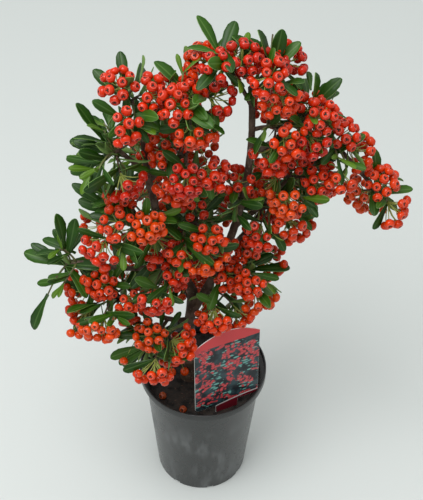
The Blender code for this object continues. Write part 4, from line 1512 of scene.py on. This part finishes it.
# %% Berry finishes
FRUIT_TONES = {
    "crimson": (0.60, 0.016, 0.002), "scarlet": (0.71, 0.029, 0.002),
    "vermilion": (0.78, 0.046, 0.002), "orange": (0.83, 0.073, 0.003),
    "fallen": (0.30, 0.050, 0.010)}
RING_TINT = (0.76, 0.22, 0.17)
RING_SHARE = 0.42
MOTTLE = 0.72
eye_finish = Finish("dried_flower", colour=(0.030, 0.010, 0.006), roughness=0.85)
fruit_models = {}
for tone, colour in FRUIT_TONES.items():
    skin = Finish("fruit_" + tone, roughness=0.17, specular_ior_level=0.38)
    mottle = skin.between(skin.noise(70.0, detail=2.0), 0.35, 0.7)
    darker = tuple(c * MOTTLE for c in colour)
    skin.put("Base Color", skin.blend(mottle, darker, colour))
    skin.bump(skin.noise(800.0, detail=2.0), 0.0002, 0.25)
    ring_colour = Vector(colour).lerp(Vector(RING_TINT), RING_SHARE)
    blush = Finish("fruit_ring_" + tone, colour=tuple(ring_colour), roughness=0.5)
    fruit_models[tone] = make_berry("berry_" + tone, (skin, blush, eye_finish))

# %% [markdown]
# ## One leaf
# The leaf is narrow at its root, widest past its middle and round at its tip, with a paler rib
# and an olive underside. It starts as a small grid. Its rows are widened or narrowed to the
# outline, the blade is folded a little along the rib and curled, and Solidify gives it a
# thickness, with materials of their own for the underside.

# %% Leaf shape
LEAF_OUTLINE = (
    (0.0, 0.036), (0.14, 0.040), (0.32, 0.074), (0.52, 0.110), (0.72, 0.136), (0.88, 0.114),
    (0.97, 0.062), (1.0, 0.020))
RIB_SHARE = 0.12
LEAF_THICK = 0.012
LEAF_COLUMNS = 3
WAVE = 0.012
RIB_HALF = 0.01


def make_leaf(name, curl, fold, sway, finishes):
    """One leaf of length 1 along +Y, whose upper side looks along +Z."""
    bpy.ops.object.select_all(action="DESELECT")
    rows = len(LEAF_OUTLINE)
    bpy.ops.mesh.primitive_grid_add(
        x_subdivisions=LEAF_COLUMNS, y_subdivisions=rows - 1, size=1)
    piece = bpy.context.object
    piece.name = name
    for vertex in piece.data.vertices:
        row = round((vertex.co.y + 0.5) * (rows - 1))
        along, half = LEAF_OUTLINE[row]
        outer = abs(vertex.co.x) > 0.4
        side = half * (1.0 if outer else RIB_SHARE) * math.copysign(1, vertex.co.x)
        wave = WAVE * math.sin(9 * along + 2 * (vertex.co.x > 0)) if outer else 0.0
        rise = fold * abs(side) + wave - curl * along ** 2
        vertex.co = (side + sway * along ** 2, along * (1 - 0.3 * curl ** 2), rise)
    for face in piece.data.polygons:
        middle = sway * face.center.y ** 2
        face.material_index = 1 if abs(face.center.x - middle) < RIB_HALF else 0
    for finish in finishes:
        piece.data.materials.append(finish.material)
    finish_with(piece, "SOLIDIFY", thickness=LEAF_THICK, offset=-1.0, material_offset=2,
                material_offset_rim=3)
    piece.data.shade_smooth()
    print(name, len(piece.data.polygons), "faces")
    return piece


print("leaf outline,", len(LEAF_OUTLINE), "rows")

# %% [markdown]
# The upper side is dark and slightly glossy, with a paler rib, and the underside is pale and dull.
# Leaves are deep green when old and yellow-green when young. Three forms, which differ in how they
# curl, fold and sway, are enough to hide that the leaves are copies.

# %% Leaf finishes
LEAF_TONES = {
    "deep": ((0.010, 0.043, 0.002), (0.020, 0.074, 0.003), (0.12, 0.22, 0.045)),
    "mid": ((0.022, 0.080, 0.003), (0.042, 0.125, 0.005), (0.15, 0.26, 0.06)),
    "young": ((0.060, 0.140, 0.004), (0.095, 0.195, 0.009), (0.20, 0.31, 0.07))}
LEAF_FORMS = {"flat": (0.05, 0.26, 0.00), "curled": (0.24, 0.40, 0.05),
              "arched": (0.14, 0.32, -0.05)}
RIB_PALER = 0.16
BACK_DARKER = 0.8
BACK_RIB_PALER = 1.25
leaf_models = {}
for age, (dark, light, under) in LEAF_TONES.items():
    blade = Finish("leaf_" + age, roughness=0.45, specular_ior_level=0.3)
    patch = blade.between(blade.noise(45.0, detail=3.0), 0.3, 0.7)
    blade.put("Base Color", blade.blend(patch, dark, light))
    blade.put("Roughness", 0.38 + patch * 0.14)
    blade.bump(blade.noise(480.0, detail=2.0), 0.0003, 0.3)
    rib_colour = Vector(light).lerp(Vector(under), RIB_PALER)
    rib = Finish("leaf_rib_" + age, colour=tuple(rib_colour), roughness=0.5)
    back = Finish("leaf_back_" + age, roughness=0.6)
    under_patch = back.between(back.noise(60.0, detail=2.0), 0.3, 0.7)
    under_dark = tuple(c * BACK_DARKER for c in under)
    back.put("Base Color", back.blend(under_patch, under_dark, under))
    back_rib_colour = tuple(min(1, c * BACK_RIB_PALER) for c in under)
    back_rib = Finish("leaf_back_rib_" + age, colour=back_rib_colour, roughness=0.6)
    for form, (curl, fold, sway) in LEAF_FORMS.items():
        leaf_models[age, form] = make_leaf(
            f"leaf_{age}_{form}", curl, fold, sway, (blade, rib, back, back_rib))

# %% [markdown]
# ## Joining thousands of copies
# A scene of thousands of objects is slow, and linked copies are lost when it is saved as plain
# meshes. So the model's points are copied with numpy, each copy turned and scaled by its own
# matrix, into one mesh per kind and colour.


# %% Joined copies
def fill_mesh(name, verts, loops, sizes, slots, finishes):
    """A mesh object from arrays."""
    mesh = bpy.data.meshes.new(name)
    mesh.vertices.add(len(verts))
    mesh.vertices.foreach_set("co", verts.astype(np.float32).ravel())
    mesh.loops.add(len(loops))
    mesh.loops.foreach_set("vertex_index", loops.astype(np.int32))
    mesh.polygons.add(len(sizes))
    starts = np.concatenate(([0], np.cumsum(sizes)[:-1]))
    mesh.polygons.foreach_set("loop_start", starts.astype(np.int32))
    mesh.polygons.foreach_set("material_index", slots.astype(np.int32))
    mesh.polygons.foreach_set("use_smooth", np.ones(len(sizes), bool))
    for finish in finishes:
        mesh.materials.append(finish)
    mesh.update(calc_edges=True)
    mesh.validate()
    piece = bpy.data.objects.new(name, mesh)
    bpy.context.scene.collection.objects.link(piece)
    return piece


def join_copies(name, placed):
    """One piece from (model, matrix) pairs. The models have the same materials."""
    verts, loops, sizes, slots = [], [], [], []
    offset = 0
    for model, matrix in placed:
        mesh = model.data
        points = np.empty(len(mesh.vertices) * 3)
        mesh.vertices.foreach_get("co", points)
        matrix = np.array(matrix)
        verts.append(points.reshape(-1, 3) @ matrix[:3, :3].T + matrix[:3, 3])
        corners = np.empty(len(mesh.loops), int)
        mesh.loops.foreach_get("vertex_index", corners)
        loops.append(corners + offset)
        offset += len(mesh.vertices)
        counts = np.empty(len(mesh.polygons), int)
        mesh.polygons.foreach_get("loop_total", counts)
        sizes.append(counts)
        indices = np.empty(len(mesh.polygons), int)
        mesh.polygons.foreach_get("material_index", indices)
        slots.append(indices)
    piece = fill_mesh(
        name, np.concatenate(verts), np.concatenate(loops), np.concatenate(sizes),
        np.concatenate(slots), list(placed[0][0].data.materials))
    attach(piece, "root")
    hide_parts(*MASSES)
    triangles = int(sum((count - 2).sum() for count in sizes))
    print(name, len(placed), "copies,", triangles, "triangles")


def frame_matrix(place, along, facing, width, length, height):
    """A matrix whose Y runs along and whose Z looks as near to facing as it can."""
    along = along.normalized()
    side = along.cross(facing).normalized()
    facing = side.cross(along)
    return Matrix((
        (side.x * width, along.x * length, facing.x * height, place.x),
        (side.y * width, along.y * length, facing.y * height, place.y),
        (side.z * width, along.z * length, facing.z * height, place.z), (0, 0, 0, 1)))


print("joining tools ready")

# %% [markdown]
# Every berry is squashed a little by chance, and turned about its own axis so that the stars don't
# all look alike. Every leaf gets one of the three forms and a width of its own. The models are
# removed once they are copied.

# %% All the berries and leaves
spin = random.Random("spin")
for tone in FRUIT_TONES:
    placed = []
    for middle, eye, radius, own_tone in crown.berries:
        if own_tone == tone:
            side = Quaternion(eye, spin.uniform(0, 2 * math.pi)) @ eye.orthogonal()
            squat = radius * spin.uniform(0.88, 0.96)
            matrix = frame_matrix(middle, side, eye, radius, radius, squat)
            placed.append((fruit_models[tone], matrix))
    join_copies("berries_" + tone, placed)
for age in LEAF_TONES:
    placed = []
    for root, direction, facing, length, own_age in crown.leaves:
        if own_age == age:
            form = spin.choice(list(LEAF_FORMS))
            width = length * spin.uniform(0.88, 1.12)
            matrix = frame_matrix(root, direction, facing, width, length, length)
            placed.append((leaf_models[age, form], matrix))
    join_copies("leaves_" + age, placed)
for model in list(fruit_models.values()) + list(leaf_models.values()):
    bpy.data.objects.remove(model)
print("models removed")

# %% [markdown]
# ## Twigs and stalks
# Twigs are thin round rods. There are over a thousand of them, so they are worked out as rings of
# points in arrays. Each ring keeps the turn of the one before, so that a rod doesn't twist where
# it bends. A thorn is a rod that narrows to a point.

# %% Thin rods
def join_rods(name, rods, sides, finish):
    """One piece from (line, foot radius, tip radius) rods, each closed at both ends."""
    verts, loops, sizes = [], [], []
    offset = 0
    for points, foot_r, tip_r in rods:
        last = len(points) - 1
        direction = (points[1] - points[0]).normalized()
        across = direction.orthogonal().normalized()
        for i, point in enumerate(points):
            ahead = points[min(i + 1, last)] - points[max(i - 1, 0)]
            turned = ahead.normalized()
            across = direction.rotation_difference(turned) @ across
            direction = turned
            second = direction.cross(across)
            radius = foot_r + (tip_r - foot_r) * i / last
            for k in range(sides):
                angle = 2 * math.pi * k / sides
                verts.append(
                    point + (across * math.cos(angle) + second * math.sin(angle)) * radius)
        for i in range(last):
            for k in range(sides):
                a = offset + i * sides + k
                b = offset + i * sides + (k + 1) % sides
                loops += [a, b, b + sides, a + sides]
                sizes.append(4)
        loops += [offset + k for k in reversed(range(sides))]
        loops += [offset + last * sides + k for k in range(sides)]
        sizes += [sides, sides]
        offset += (last + 1) * sides
    piece = fill_mesh(
        name, np.array([tuple(v) for v in verts]), np.array(loops), np.array(sizes),
        np.zeros(len(sizes)), [finish.material])
    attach(piece, "root")
    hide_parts(*MASSES)
    print(name, len(rods), "rods,", len(sizes), "faces")


print("rod tool ready")

# %% [markdown]
# The stalks of the fruit are yellow-green and the leafy shoots greenish brown. Both finishes are a
# mix of two tones, because a single tone looks like painted wire. The rest has the bark that the
# limbs have.

# %% All the twigs
stalk_green = Finish("stalk_green", roughness=0.5)
stalk_mix = stalk_green.between(stalk_green.noise(120.0), 0.35, 0.7)
stalk_green.put("Base Color", stalk_green.blend(
    stalk_mix, (0.250, 0.300, 0.050), (0.400, 0.440, 0.110)))
young_bark = Finish("young_bark", roughness=0.6)
young_mix = young_bark.between(young_bark.noise(110.0), 0.35, 0.7)
young_bark.put("Base Color", young_bark.blend(
    young_mix, (0.085, 0.070, 0.030), (0.150, 0.175, 0.045)))
join_rods("stems", crown.twigs, 8, bark)
join_rods("shoots", crown.shoots, 6, bark)
join_rods("young_shoots", crown.young, 6, young_bark)
join_rods("thorns", crown.thorns, 5, bark)
join_rods("fruit_stalks", crown.stalks, 5, stalk_green)
